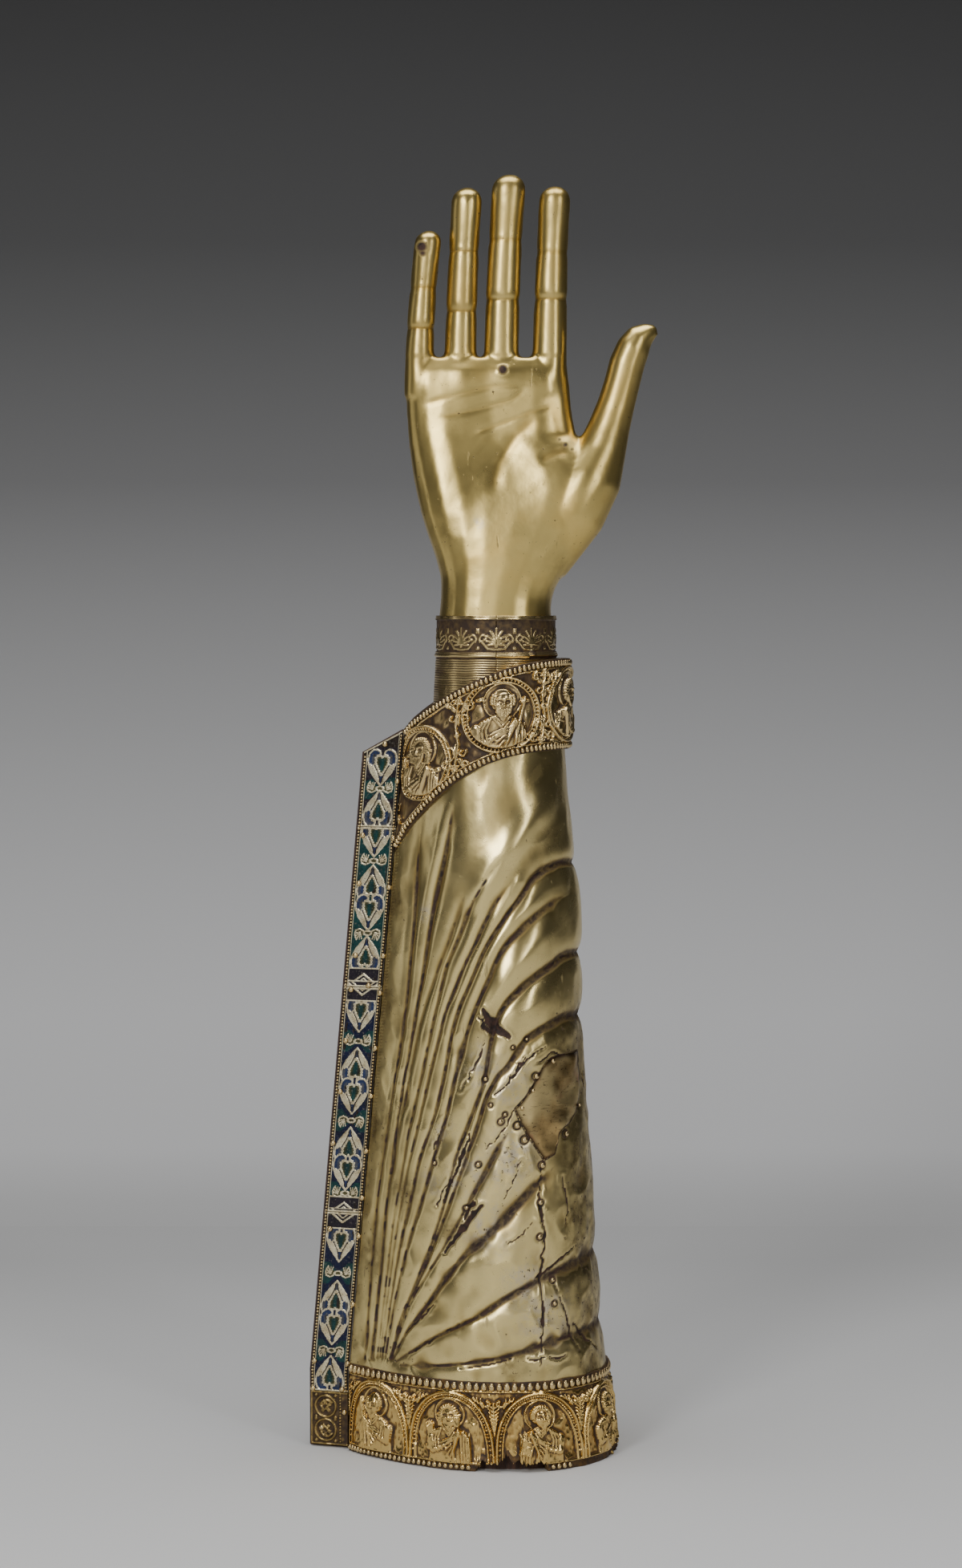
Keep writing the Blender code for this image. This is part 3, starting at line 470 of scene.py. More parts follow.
def head(rel, cx, cz, s, face, style, base):
    """A calm, plain head: s is half the face's width in millimetres."""
    fx = cx + 0.26 * s * face
    rel.dome(cx - 0.10 * s * face, cz + 0.25 * s, 1.22 * s, 1.36 * s, 0.8, base, power=0.4)
    rel.dome(fx * 0.4 + cx * 0.6, cz - 0.10 * s, 0.90 * s, 1.32 * s, 1.35, base + 0.25, power=0.4)
    for side in (-1, 1):
        ex = fx + side * 0.40 * s
        rel.dome(ex, cz + 0.16 * s, 0.34 * s, 0.25 * s, -0.60, add=True, power=1)
        rel.dome(ex, cz + 0.12 * s, 0.20 * s, 0.12 * s, 0.45, add=True)
        rel.cord([(ex - 0.30 * s, cz + 0.40 * s), (ex, cz + 0.50 * s),
                  (ex + 0.30 * s, cz + 0.40 * s)], 0.12 * s, 0.30, add=True)
        rel.dome(ex + side * 0.08 * s, cz - 0.30 * s, 0.28 * s, 0.26 * s, 0.20, add=True, power=1)
    rel.cord([(fx, cz + 0.40 * s), (fx + 0.06 * s * face, cz - 0.22 * s)], 0.15 * s, 0.50,
             add=True)
    rel.dome(fx + 0.06 * s * face, cz - 0.24 * s, 0.22 * s, 0.14 * s, 0.35, add=True)
    rel.cord([(fx - 0.26 * s, cz - 0.56 * s), (fx + 0.26 * s, cz - 0.56 * s)], 0.11 * s,
             -0.45, add=True, power=1)
    rel.cord([(fx - 0.16 * s, cz - 0.70 * s), (fx + 0.16 * s, cz - 0.70 * s)], 0.10 * s,
             0.30, add=True)
    for k in range(-7, 8):
        a = math.pi / 2 + k * 0.27
        inner, outer = 0.84, 1.30
        if style == "bald" and abs(k) < 4:
            continue
        if style == "long" and abs(k) > 5:
            outer = 1.55
        x0, z0 = cx + inner * s * math.cos(a), cz + 0.20 * s + 0.98 * s * math.sin(a)
        x1, z1 = cx + outer * s * math.cos(a), cz + 0.28 * s + outer * s * math.sin(a)
        if style in ("curly", "bald"):
            for t in (0.1, 0.8):
                rel.dome(x0 + (x1 - x0) * t, z0 + (z1 - z0) * t, 0.20 * s, 0.20 * s, 0.9,
                         base + 0.75 - 0.4 * t)
        else:
            rel.cord([(x0, z0), (x1, z1 - 0.1 * s)], 0.15 * s, 0.8, base + 0.6)
    if style == "long":
        for side in (-1, 1):
            for k in range(3):
                rel.cord([(cx + side * (0.95 + 0.17 * k) * s, cz + 0.2 * s),
                          (cx + side * (1.02 + 0.17 * k) * s, cz - 0.6 * s),
                          (cx + side * (0.90 + 0.22 * k) * s, cz - 1.35 * s)],
                         0.13 * s, 0.8, base + 0.4)
    if style != "young":
        fall = 1.95 if style in ("long", "bald") else 1.6
        for k in range(-4, 5):
            x0 = fx + 0.20 * s * k
            z0 = cz - (0.84 - 0.035 * k * k) * s
            rel.cord([(x0, z0), (fx + 0.17 * s * k, 0.5 * (z0 + cz - fall * s)),
                      (fx + 0.10 * s * k, cz - (fall - 0.045 * k * k) * s)],
                     0.12 * s, 0.8, base + 0.75, thin=0.7)
        for side in (-1, 1):
            rel.cord([(fx, cz - 0.42 * s), (fx + side * 0.40 * s, cz - 0.66 * s)], 0.10 * s,
                     0.35, add=True)


SHOULDERS = ((-6.6, 3.1), (-3.6, 3.0), (-2.8, 2.8), (-2.1, 2.35), (-1.6, 1.55), (-1.3, 0.8),
             (-0.9, 0.55))


def half_figure(rel, cx, cz, s, face, lead, style, prop, floor):
    """A draped half figure with a halo: cz is the head's height, s half its width and
    lead the side over which the mantle hangs."""
    h0 = rel.h.copy()
    rel.h[:] = 0
    halo = 2.12 * s
    rel.dome(cx, cz + 0.2 * s, halo, halo, 0.30, 0.30, power=0.2)
    rel.ring(cx, cz + 0.2 * s, halo * 0.95, 0.36, 1.05)
    q = rel.near(cx - 4.0 * s, cx + 4.0 * s, floor, cz)
    dx, dz = (rel.x[q] - cx) / s, (rel.z[q] - cz) / s
    wide = np.interp(dz, *zip(*SHOULDERS))
    body = smooth((wide - np.abs(dx)) / 0.28) * (dz < -0.8)
    round_off = np.clip(1 - (dx / (wide + 0.02)) ** 2, 0, 1) ** 0.5
    rel.h[q] = np.maximum(rel.h[q], body * (0.55 + 1.15 * round_off))

    def line(points, width, height, base=None, thin=1.0):
        pts = [(cx + x * s * lead, cz + z * s) for x, z in points]
        if base is None:
            rel.cord(pts, width * s, height, add=True, thin=thin)
        else:
            rel.cord(pts, width * s, height, base, thin=thin)

    for k in range(3):
        line(((-0.55 - 0.25 * k, -1.25 - 0.1 * k), (0.05, -1.85 - 0.42 * k),
              (0.60 + 0.20 * k, -1.20 - 0.1 * k)), 0.13, 0.50)
    for k in range(4):
        line(((-1.15 - 0.33 * k, -1.75 - 0.16 * k), (-1.55 - 0.40 * k, -3.0),
              (-1.25 - 0.50 * k, -4.6)), 0.16, 0.60)
    for k in range(7):
        line(((1.35 + 0.05 * k, -1.55 - 0.10 * k), (0.75 - 0.02 * k, -2.7 - 0.36 * k),
              (-1.1 + 0.34 * k, -3.6 - 0.46 * k)), 0.17, 0.62, thin=0.8)
    for k in range(4):
        line(((1.75 + 0.30 * k, -1.9 - 0.16 * k), (1.65 + 0.36 * k, -3.4),
              (1.75 + 0.38 * k, -6.2)), 0.16, 0.60)
    line(((-2.65, -3.0), (-2.3, -4.7), (-1.2, -4.3), (0.0, -3.45)), 0.56, 1.0, 1.25, 0.62)
    for k in range(3):
        line(((-1.9 + 0.55 * k, -4.25 + 0.18 * k), (-1.5 + 0.55 * k, -4.85 + 0.28 * k)), 0.12, 0.5)
    line(((-0.1, -3.50), (0.45, -3.20)), 0.42, 0.9, 1.45, 0.8)
    for k in range(4):
        line(((0.35, -3.40 + 0.20 * k), (1.10 - 0.10 * k, -3.20 + 0.34 * k)), 0.12, 0.7, 1.75)
    if prop == "book":
        bx, bz = cx + 1.95 * s * lead, cz - 4.1 * s
        q = rel.near(bx - 1.7 * s, bx + 1.7 * s, bz - 1.7 * s, bz + 1.7 * s)
        u = (rel.x[q] - bx) * 0.96 + (rel.z[q] - bz) * 0.26 * lead
        v = -(rel.x[q] - bx) * 0.26 * lead + (rel.z[q] - bz) * 0.96
        sheet = smooth((0.85 * s - np.abs(u)) / 0.3) * smooth((1.15 * s - np.abs(v)) / 0.3)
        rim = np.maximum(bump(np.abs(u) - 0.62 * s, 0.28), bump(np.abs(v) - 0.90 * s, 0.28))
        boss = bump(np.hypot(u, v), 0.3 * s)
        rel.h[q] = np.maximum(rel.h[q], sheet * (2.0 + 0.4 * np.maximum(rim, boss)))
    elif prop == "staff":
        line(((1.45, -5.6), (2.35, 0.6)), 0.20, 1.0, 1.3)
        line(((2.0, 0.15), (2.75, 0.25)), 0.18, 1.0, 1.1)
    elif prop == "hand":
        line(((-2.9, -4.4), (-2.75, -3.0)), 0.46, 0.9, 1.2, 0.75)
        line(((-2.75, -2.9), (-2.70, -2.3)), 0.46, 0.8, 1.2)
        for k in range(4):
            line(((-3.02 + 0.22 * k, -2.2), (-3.20 + 0.30 * k, -1.25 + 0.1 * k * (3 - k))),
                 0.12, 0.8, 1.2)
        line(((-2.45, -2.6), (-2.0, -2.05)), 0.13, 0.8, 1.2)
    head(rel, cx, cz, s, face, style, 1.15)
    rel.h[:] = np.maximum(h0, rel.h)


# The half figures: hair and beard, where the face turns, the mantle's side, what is held
PEOPLE = (("bald", -1, -1, "staff"), ("long", 0.2, 1, "hand"), ("curly", 1, -1, "book"),
          ("short", -0.6, 1, "staff"), ("long", 0.6, 1, "book"), ("short", -1, -1, "hand"),
          ("curly", 0.5, 1, "staff"), ("bald", -0.6, -1, "book"))
MOUTH_PEOPLE = (("long", -0.8, 1, "hand"), ("bald", 0.5, 1, "staff"), ("short", 1, -1, "book"),
                ("long", -1, 1, "staff"), ("curly", 1, 1, "book"))
FIRST_MEDAL, MEDAL_STEP = 14.0, 33.0


# Materials

class Shader:
    def __init__(self, name):
        self.mat = bpy.data.materials.new(name)
        self.mat.use_nodes = True
        self.tree = self.mat.node_tree
        self.out = self.tree.nodes["Principled BSDF"]
        self.coords = self.tree.nodes.new("ShaderNodeTexCoord").outputs["Object"]

    def link(self, a, b):
        self.tree.links.new(a, b)

    def attr(self, name, colour=False):
        node = self.tree.nodes.new("ShaderNodeAttribute")
        node.attribute_name = name
        return node.outputs["Color" if colour else "Fac"]

    def noise(self, scale, detail=3.0, rough=0.5, squash=None, distort=0.0):
        node = self.tree.nodes.new("ShaderNodeTexNoise")
        node.inputs["Scale"].default_value = scale
        node.inputs["Detail"].default_value = detail
        node.inputs["Roughness"].default_value = rough
        node.inputs["Distortion"].default_value = distort
        vec = self.coords
        if squash:
            m = self.tree.nodes.new("ShaderNodeMapping")
            m.inputs["Scale"].default_value = squash
            self.link(self.coords, m.inputs["Vector"])
            vec = m.outputs["Vector"]
        self.link(vec, node.inputs["Vector"])
        return node.outputs["Fac"]

    def math(self, op, a, b=0.0, c=None, clamp=False):
        node = self.tree.nodes.new("ShaderNodeMath")
        node.operation = op
        node.use_clamp = clamp
        for k, v in enumerate((a, b) if c is None else (a, b, c)):
            if isinstance(v, (int, float)):
                node.inputs[k].default_value = v
            else:
                self.link(v, node.inputs[k])
        return node.outputs[0]

    def span(self, value, low, high, to_low=0.0, to_high=1.0):
        node = self.tree.nodes.new("ShaderNodeMapRange")
        node.clamp = True
        self.link(value, node.inputs["Value"])
        for key, v in (("From Min", low), ("From Max", high), ("To Min", to_low),
                       ("To Max", to_high)):
            node.inputs[key].default_value = v
        return node.outputs["Result"]

    def mix(self, fac, a, b):
        node = self.tree.nodes.new("ShaderNodeMix")
        node.data_type = "RGBA"
        for key, v in (("Factor", fac), ("A", a), ("B", b)):
            socket = [s for s in node.inputs if s.name == key
                      and s.type == ("VALUE" if key == "Factor" else "RGBA")][0]
            if isinstance(v, tuple):
                socket.default_value = (*v, 1.0)
            elif isinstance(v, (int, float)):
                socket.default_value = v
            else:
                self.link(v, socket)
        return [s for s in node.outputs if s.type == "RGBA"][0]

    def bump(self, height, strength, distance, after=None):
        node = self.tree.nodes.new("ShaderNodeBump")
        node.inputs["Strength"].default_value = strength
        node.inputs["Distance"].default_value = distance
        self.link(height, node.inputs["Height"])
        if after is not None:
            self.link(after, node.inputs["Normal"])
        return node.outputs["Normal"]


SILVER_TONE, DULL_AND_SHADE_TONE = (0.62, 0.54, 0.40), (0.20, 0.145, 0.058)
GRIME_AND_SHADE_TONE = (0.040, 0.021, 0.011)
BARE_AND_SHADE_DARK, BARE_AND_SHADE_LIGHT = (0.018, 0.009, 0.006), (0.060, 0.026, 0.016)


def gilt(name, pale, deep, rough, hollow_dirt_and_shade, pits):
    """Gilded silver: pale on the heights, orange and then brown in the hollows, partly tarnish and
    partly painted shade.
    """
    s = Shader(name)
    cavity = s.attr("cavity")
    dark = s.attr("dark")
    worn = s.attr("worn")
    dull_and_shade = s.attr("dull_and_shade")
    patches = s.noise(34, 4, 0.6)
    fine = s.noise(420, 3, 0.6)
    specks = s.noise(540, 3, 0.75)
    scratch = s.noise(240, 3, 0.6, (1.0, 1.0, 0.22))
    # The cavity attribute paints shade: hollows turn from the pale to the deep colour, partly
    # tarnish and partly painted shade, and the crests stay pale.
    sunk = s.math("MULTIPLY", cavity, -1.0)
    warm = s.math("ADD", s.span(patches, 0.42, 0.72, 0.0, 0.55),
                  s.math("MULTIPLY", sunk, 1.3), clamp=True)
    colour = s.mix(warm, pale, deep)
    silver = s.math("MULTIPLY", worn, s.span(fine, 0.36, 0.58), clamp=True)
    colour = s.mix(s.math("MULTIPLY", silver, 0.85), colour, SILVER_TONE)
    # Dull places darken at random; near the sleeve's edges and on the hand's sideways faces this
    # darkening is painted shade.
    dimmed = s.math("MULTIPLY", dull_and_shade, s.span(fine, 0.3, 0.6, 0.55, 0.95))
    colour = s.mix(dimmed, colour, DULL_AND_SHADE_TONE)
    # Past a point the hollows turn to the dark tone, partly grime and partly painted shade; pits
    # and scratches are real marks.
    hollow = s.math("MULTIPLY", s.math("SUBTRACT", sunk, 0.22), hollow_dirt_and_shade, clamp=True)
    grime_and_shade = s.math("MULTIPLY", hollow, s.span(fine, 0.25, 0.60, 0.5, 1.0), clamp=True)
    reach = s.math("ADD", s.math("MAXIMUM", worn, dull_and_shade), 0.35)
    edge = s.math("SUBTRACT", 0.715, s.math("MULTIPLY", reach, 0.10))
    spots = s.math("MULTIPLY", s.math("SUBTRACT", specks, edge), 22.0, clamp=True)
    spots = s.math("MULTIPLY", spots, pits, clamp=True)
    lines = s.math("MULTIPLY", s.span(scratch, 0.69, 0.73), pits * 0.5, clamp=True)
    grime_and_shade = s.math("MAXIMUM", grime_and_shade, s.math("MAXIMUM", spots, lines))
    colour = s.mix(grime_and_shade, colour, GRIME_AND_SHADE_TONE)
    # The dark attribute marks bare places, cracks and stains, and painted shade along the sleeve's
    # valley bottoms.
    bare_and_shade = s.span(dark, 0.25, 0.75)
    colour = s.mix(bare_and_shade, colour, s.mix(s.span(fine, 0.4, 0.6), BARE_AND_SHADE_DARK, BARE_AND_SHADE_LIGHT))
    s.link(colour, s.out.inputs["Base Color"])
    darkening = s.math("MAXIMUM", grime_and_shade, bare_and_shade)
    r = s.math("ADD", s.span(patches, 0.3, 0.7, rough - 0.04, rough + 0.06),
               s.math("MULTIPLY", darkening, 0.38))
    r = s.math("ADD", r, s.math("MULTIPLY", dull_and_shade, 0.10))
    r = s.math("ADD", r, s.math("MULTIPLY", silver, 0.06), clamp=True)
    s.link(r, s.out.inputs["Roughness"])
    s.link(s.math("SUBTRACT", 1.0, s.math("MULTIPLY", darkening, 0.85), clamp=True),
           s.out.inputs["Metallic"])
    n = s.bump(s.noise(64, 2, 0.5), 0.10, 0.0016)
    n = s.bump(s.noise(150, 2, 0.5), 0.10, 0.0006, n)
    n = s.bump(fine, 0.08, 0.0003, n)
    n = s.bump(s.math("SUBTRACT", 1.0, grime_and_shade), 0.25, 0.0002, n)
    s.link(n, s.out.inputs["Normal"])
    return s.mat


GILT = gilt("gilt_sleeve", (0.80, 0.64, 0.28), (0.40, 0.28, 0.09), 0.27, 1.25, 0.9)
GILT_HAND = gilt("gilt_hand", (0.74, 0.56, 0.195), (0.54, 0.33, 0.065), 0.31, 1.7, 1.0)
GILT_RELIEF = gilt("gilt_relief", (0.76, 0.53, 0.19), (0.34, 0.18, 0.042), 0.21, 2.8, 0.6)
GILT_MOUTH = gilt("gilt_mouth", (0.75, 0.56, 0.26), (0.22, 0.13, 0.045), 0.22, 3.4, 0.7)
GILT_CUFF = gilt("gilt_cuff", (0.68, 0.52, 0.24), (0.24, 0.15, 0.055), 0.27, 2.8, 0.9)
BEAD = gilt("gilt_beads", (0.70, 0.53, 0.26), (0.30, 0.18, 0.06), 0.26, 2.2, 0.8)


def copper_material():
    s = Shader("copper_plate")
    cloud = s.noise(90, 4, 0.6)
    colour = s.mix(s.span(cloud, 0.38, 0.62), (0.52, 0.36, 0.15), (0.22, 0.145, 0.06))
    broad = s.noise(46, 3, 0.6)
    colour = s.mix(s.span(broad, 0.46, 0.60), colour, (0.58, 0.45, 0.21))
    colour = s.mix(s.span(s.noise(70, 2, 0.5), 0.56, 0.66), colour, (0.50, 0.26, 0.13))
    scratch = s.noise(260, 3, 0.6, (1, 1, 6))
    colour = s.mix(s.span(scratch, 0.60, 0.72, 0.0, 0.7), colour, (0.12, 0.075, 0.04))
    specks = s.noise(700, 3, 0.7)
    colour = s.mix(s.span(specks, 0.62, 0.68, 0.0, 0.8), colour, (0.05, 0.03, 0.02))
    colour = s.mix(s.span(s.attr("dark"), 0.2, 0.8, 0.0, 0.9), colour, (0.05, 0.028, 0.018))
    s.link(colour, s.out.inputs["Base Color"])
    s.out.inputs["Metallic"].default_value = 1.0
    s.link(s.span(cloud, 0.3, 0.7, 0.34, 0.48), s.out.inputs["Roughness"])
    s.link(s.bump(scratch, 0.12, 0.0004), s.out.inputs["Normal"])
    return s.mat


def oak_material():
    s = Shader("old_oak")
    grain = s.noise(60, 6, 0.65, (12, 12, 0.8), 0.6)
    fine = s.noise(300, 4, 0.7, (6, 6, 0.6))
    colour = s.mix(s.span(grain, 0.35, 0.65), (0.025, 0.012, 0.008), (0.095, 0.042, 0.024))
    colour = s.mix(s.span(fine, 0.55, 0.7), colour, (0.015, 0.008, 0.006))
    s.link(colour, s.out.inputs["Base Color"])
    s.link(s.span(grain, 0.3, 0.7, 0.62, 0.85), s.out.inputs["Roughness"])
    s.link(s.bump(fine, 0.5, 0.0006, s.bump(grain, 0.4, 0.0012)), s.out.inputs["Normal"])
    return s.mat


def enamel_material():
    """Enamel in gilded cells: the colour and the metal come from the drawing."""
    s = Shader("champleve")
    tint = s.attr("tint", True)
    metal = s.attr("metal")
    cloud = s.noise(260, 3, 0.6)
    pit = s.noise(1300, 2, 0.6)
    glassy = s.mix(s.span(cloud, 0.35, 0.7, 0.0, 0.6), tint, (0.007, 0.007, 0.008))
    glassy = s.mix(s.span(pit, 0.62, 0.70, 0.0, 0.55), glassy, (0.20, 0.18, 0.14))
    gold = s.mix(s.span(cloud, 0.35, 0.65), (0.84, 0.76, 0.52), (0.56, 0.46, 0.27))
    gold = s.mix(s.span(pit, 0.60, 0.68, 0.0, 0.8), gold, (0.08, 0.05, 0.03))
    s.link(s.mix(s.span(metal, 0.3, 0.7), glassy, gold), s.out.inputs["Base Color"])
    s.link(s.math("MULTIPLY", metal, 0.62), s.out.inputs["Metallic"])
    s.link(s.span(pit, 0.3, 0.8, 0.22, 0.46), s.out.inputs["Roughness"])
    s.out.inputs["Specular IOR Level"].default_value = 0.22
    s.link(s.bump(pit, 0.15, 0.0002), s.out.inputs["Normal"])
    return s.mat


COPPER, OAK, ENAMEL = copper_material(), oak_material(), enamel_material()


# Sleeve: folds, creases, cracks and hammering

# Valleys between the folds, as points of the photograph, with their depth and
# their half width at the top and at the foot in mm
VALLEYS = (
    (((529, 1010), (524, 1050), (520, 1090), (518, 1120), (516, 1150), (512, 1190), (507, 1240),
      (499, 1300), (491, 1350), (480, 1430), (467, 1540), (455, 1692)), 1.7, 2.2, 0.9),
    (((571, 976), (563, 1015), (556, 1055), (546, 1098), (539, 1130), (533, 1170), (527, 1210),
      (519, 1255), (510, 1310), (499, 1370), (483, 1500), (475, 1580), (462, 1692)),
     2.0, 2.2, 0.9),
    (((592, 1078), (579, 1113), (569, 1138), (559, 1168), (548, 1197), (540, 1220), (530, 1250),
      (521, 1285), (508, 1350), (498, 1400), (488, 1470), (478, 1560), (465, 1692)),
     1.3, 3.6, 0.8),
    (((645, 1030), (628, 1060), (612, 1083), (597, 1107), (585, 1130), (576, 1152), (565, 1178),
      (555, 1204), (548, 1235), (541, 1265), (535, 1295), (524, 1345), (512, 1398), (505, 1440),
      (499, 1475), (488, 1545), (470, 1690)), 1.5, 2.6, 0.9),
    (((660, 1060), (636, 1094), (619, 1118), (605, 1144), (592, 1172), (580, 1196), (568, 1225),
      (556, 1255), (547, 1290), (537, 1330), (527, 1375), (517, 1420), (506, 1468), (493, 1545),
      (473, 1690)), 1.5, 2.2, 0.8),
    (((727, 1073), (714, 1069), (703, 1068), (690, 1073), (676, 1081), (664, 1091), (656, 1103),
      (647, 1116), (635, 1131), (624, 1147), (612, 1165), (602, 1183), (593, 1204), (583, 1227),
      (573, 1250), (563, 1285), (553, 1340), (541, 1390), (524, 1440), (515, 1480), (497, 1560),
      (476, 1690)), 2.2, 2.6, 0.9),
    (((716, 1102), (704, 1108), (690, 1118), (672, 1133), (656, 1147), (645, 1158), (635, 1168),
      (626, 1180), (619, 1193), (611, 1212), (600, 1236), (590, 1260), (580, 1290), (567, 1340),
      (556, 1390), (541, 1440), (527, 1490), (510, 1545), (492, 1620), (480, 1690)),
     2.0, 2.8, 1.0),
    (((731, 1185), (722, 1181), (711, 1182), (700, 1188), (690, 1197), (675, 1207), (656, 1222),
      (641, 1236), (630, 1248), (620, 1266), (611, 1300), (603, 1345), (585, 1395), (570, 1435),
      (556, 1490), (535, 1555), (510, 1618), (486, 1692)), 2.4, 3.0, 1.0),
    (((731, 1258), (720, 1259), (705, 1262), (690, 1270), (672, 1281), (656, 1293), (645, 1308),
      (632, 1326), (621, 1337), (607, 1362), (595, 1400), (582, 1436), (566, 1482), (548, 1530),
      (524, 1590), (500, 1640), (487, 1692)), 2.4, 3.0, 0.9),
    (((640, 1398), (625, 1420), (612, 1445), (592, 1482), (580, 1505), (556, 1547), (533, 1585),
      (512, 1622), (488, 1690)), 1.6, 1.8, 0.9),
    (((700, 1440), (680, 1462), (652, 1492), (626, 1520), (600, 1545), (580, 1562), (555, 1592),
      (530, 1628), (507, 1658), (490, 1692)), 2.4, 4.4, 1.0),
    (((757, 1545), (738, 1560), (700, 1580), (660, 1600), (630, 1617), (600, 1637), (565, 1655),
      (530, 1672), (495, 1695)), 2.2, 4.8, 1.0),
    (((765, 1640), (745, 1648), (710, 1664), (670, 1678), (630, 1690), (590, 1697), (550, 1701),
      (500, 1700)), 1.7, 4.4, 0.9),
)
# Broad folds that rise under the upper band: points, height and half widths in mm
RIDGES = (
    (((712, 945), (678, 995), (645, 1035), (618, 1075), (596, 1113), (582, 1140)), 2.3, 9.5, 2.6),
    (((566, 975), (556, 1010), (546, 1060), (536, 1105), (528, 1150)), 0.8, 3.4, 2.4),
    (((700, 1135), (672, 1160), (648, 1190), (628, 1220), (612, 1250)), 0.9, 5.5, 3.0),
)
# The folds of the back are softer, by this share
BACK_FOLDS = 0.6
# Cracks and creases: photograph points, width and depth in mm
CRACKS = (
    (((602, 1253), (610, 1264), (620, 1277), (636, 1287)), 2.3, 0.6),
    (((598, 1262), (604, 1274), (616, 1284)), 1.0, 0.5),
    (((657, 1312), (648, 1322), (641, 1331), (636, 1340)), 0.5, 0.5),
    (((586, 1408), (581, 1422), (576, 1438), (569, 1456)), 1.0, 0.7),
    (((573, 1442), (568, 1458), (562, 1474), (552, 1496)), 0.7, 0.6),
    (((602, 1498), (588, 1514), (574, 1532), (554, 1558)), 1.5, 0.8),
    (((592, 1494), (584, 1506), (578, 1516)), 1.2, 0.8),
    (((677, 1445), (674, 1490), (679, 1540), (674, 1590), (678, 1640), (675, 1700)), 0.55, 0.4),
    (((690, 1592), (700, 1620), (711, 1652), (724, 1690)), 0.45, 0.4),
    (((672, 1498), (676, 1508), (674, 1518)), 1.3, 0.6),
    (((678, 1299), (655, 1318), (636, 1342), (618, 1360)), 0.5, 0.4),
    (((640, 1380), (632, 1398), (622, 1412), (606, 1428)), 0.5, 0.4),
    (((724, 1332), (728, 1360), (730, 1392), (735, 1432)), 0.8, 0.8),
    (((735, 1432), (738, 1470), (742, 1510)), 0.4, 0.4),
    (((700, 1310), (688, 1306), (680, 1314), (668, 1320)), 0.5, 0.4),
    (((606, 1290), (600, 1310), (590, 1330), (575, 1352)), 0.5, 0.3),
    (((560, 1470), (552, 1484), (546, 1500)), 0.5, 0.4),
    (((650, 1442), (640, 1470), (628, 1490)), 0.35, 0.3),
    (((668, 1591), (684, 1580), (700, 1566), (716, 1551)), 0.7, 0.4),
    (((596, 1640), (588, 1644), (580, 1647)), 0.5, 0.3),
    (((574, 1649), (564, 1654), (555, 1659)), 0.5, 0.3),
    (((546, 1664), (530, 1674), (514, 1685)), 0.5, 0.3),
    (((540, 1625), (524, 1642), (505, 1660)), 0.6, 0.4),
    (((706, 1687), (696, 1692), (686, 1690)), 0.6, 0.3),
    (((680, 1690), (668, 1694), (657, 1692)), 0.5, 0.3),
    (((640, 1692), (612, 1699), (575, 1705)), 0.4, 0.3),
    (((716, 1646), (728, 1662), (744, 1678)), 0.6, 0.4),
    (((664, 1520), (650, 1536), (632, 1548)), 0.4, 0.3),
    (((556, 1390), (548, 1410), (541, 1432)), 0.4, 0.3),
    (((700, 1462), (706, 1500), (704, 1540)), 0.35, 0.3),
)
# Outline of the repair plate, as photograph points
PATCH = ((720, 1304), (705, 1309), (694, 1311), (682, 1318), (671, 1337), (664, 1351),
         (656, 1363), (643, 1377), (647, 1388), (656, 1405), (668, 1424), (679, 1441),
         (692, 1433), (697, 1409), (701, 1401), (711, 1393), (717, 1382), (720, 1369),
         (722, 1356))


def path_distance(length, z, line):
    """Distance of each grid point to a path, the share along it and the side of it."""
    best = np.full(np.shape(length), 1.0)
    where = np.zeros(np.shape(length))
    side = np.zeros(np.shape(length))
    count = len(line) - 1
    for k in range(count):
        ax, az = line[k]
        dx, dz = line[k + 1] - line[k]
        s = np.clip(((length - ax) * dx + (z - az) * dz) / (dx * dx + dz * dz + 1e-15), 0, 1)
        ox, oz = length - ax - s * dx, z - az - s * dz
        gap = np.hypot(ox, oz)
        near = gap < best
        best = np.where(near, gap, best)
        where = np.where(near, (k + s) / count, where)
        side = np.where(near, np.sign(ox * dz - oz * dx), side)
    return best, where, side


def photo_path(points, steps=6):
    """Photograph points laid on the sleeve and joined by a smooth curve."""
    pts = np.array([seen(*p) for p in points])
    ends = np.concatenate([2 * pts[:1] - pts[1:2], pts, 2 * pts[-1:] - pts[-2:-1]])
    out = []
    for k in range(len(pts) - 1):
        a, b, c, d = ends[k:k + 4]
        for t in np.arange(steps) / steps:
            out.append(0.5 * (2 * b + (c - a) * t + (2 * a - 5 * b + 4 * c - d) * t * t
                              + (3 * b - a - 3 * c + d) * t ** 3))
    x, z = np.array(out + [pts[-1]]).T
    return np.stack([arc_length(front_angle(x, z), z), z], axis=1)


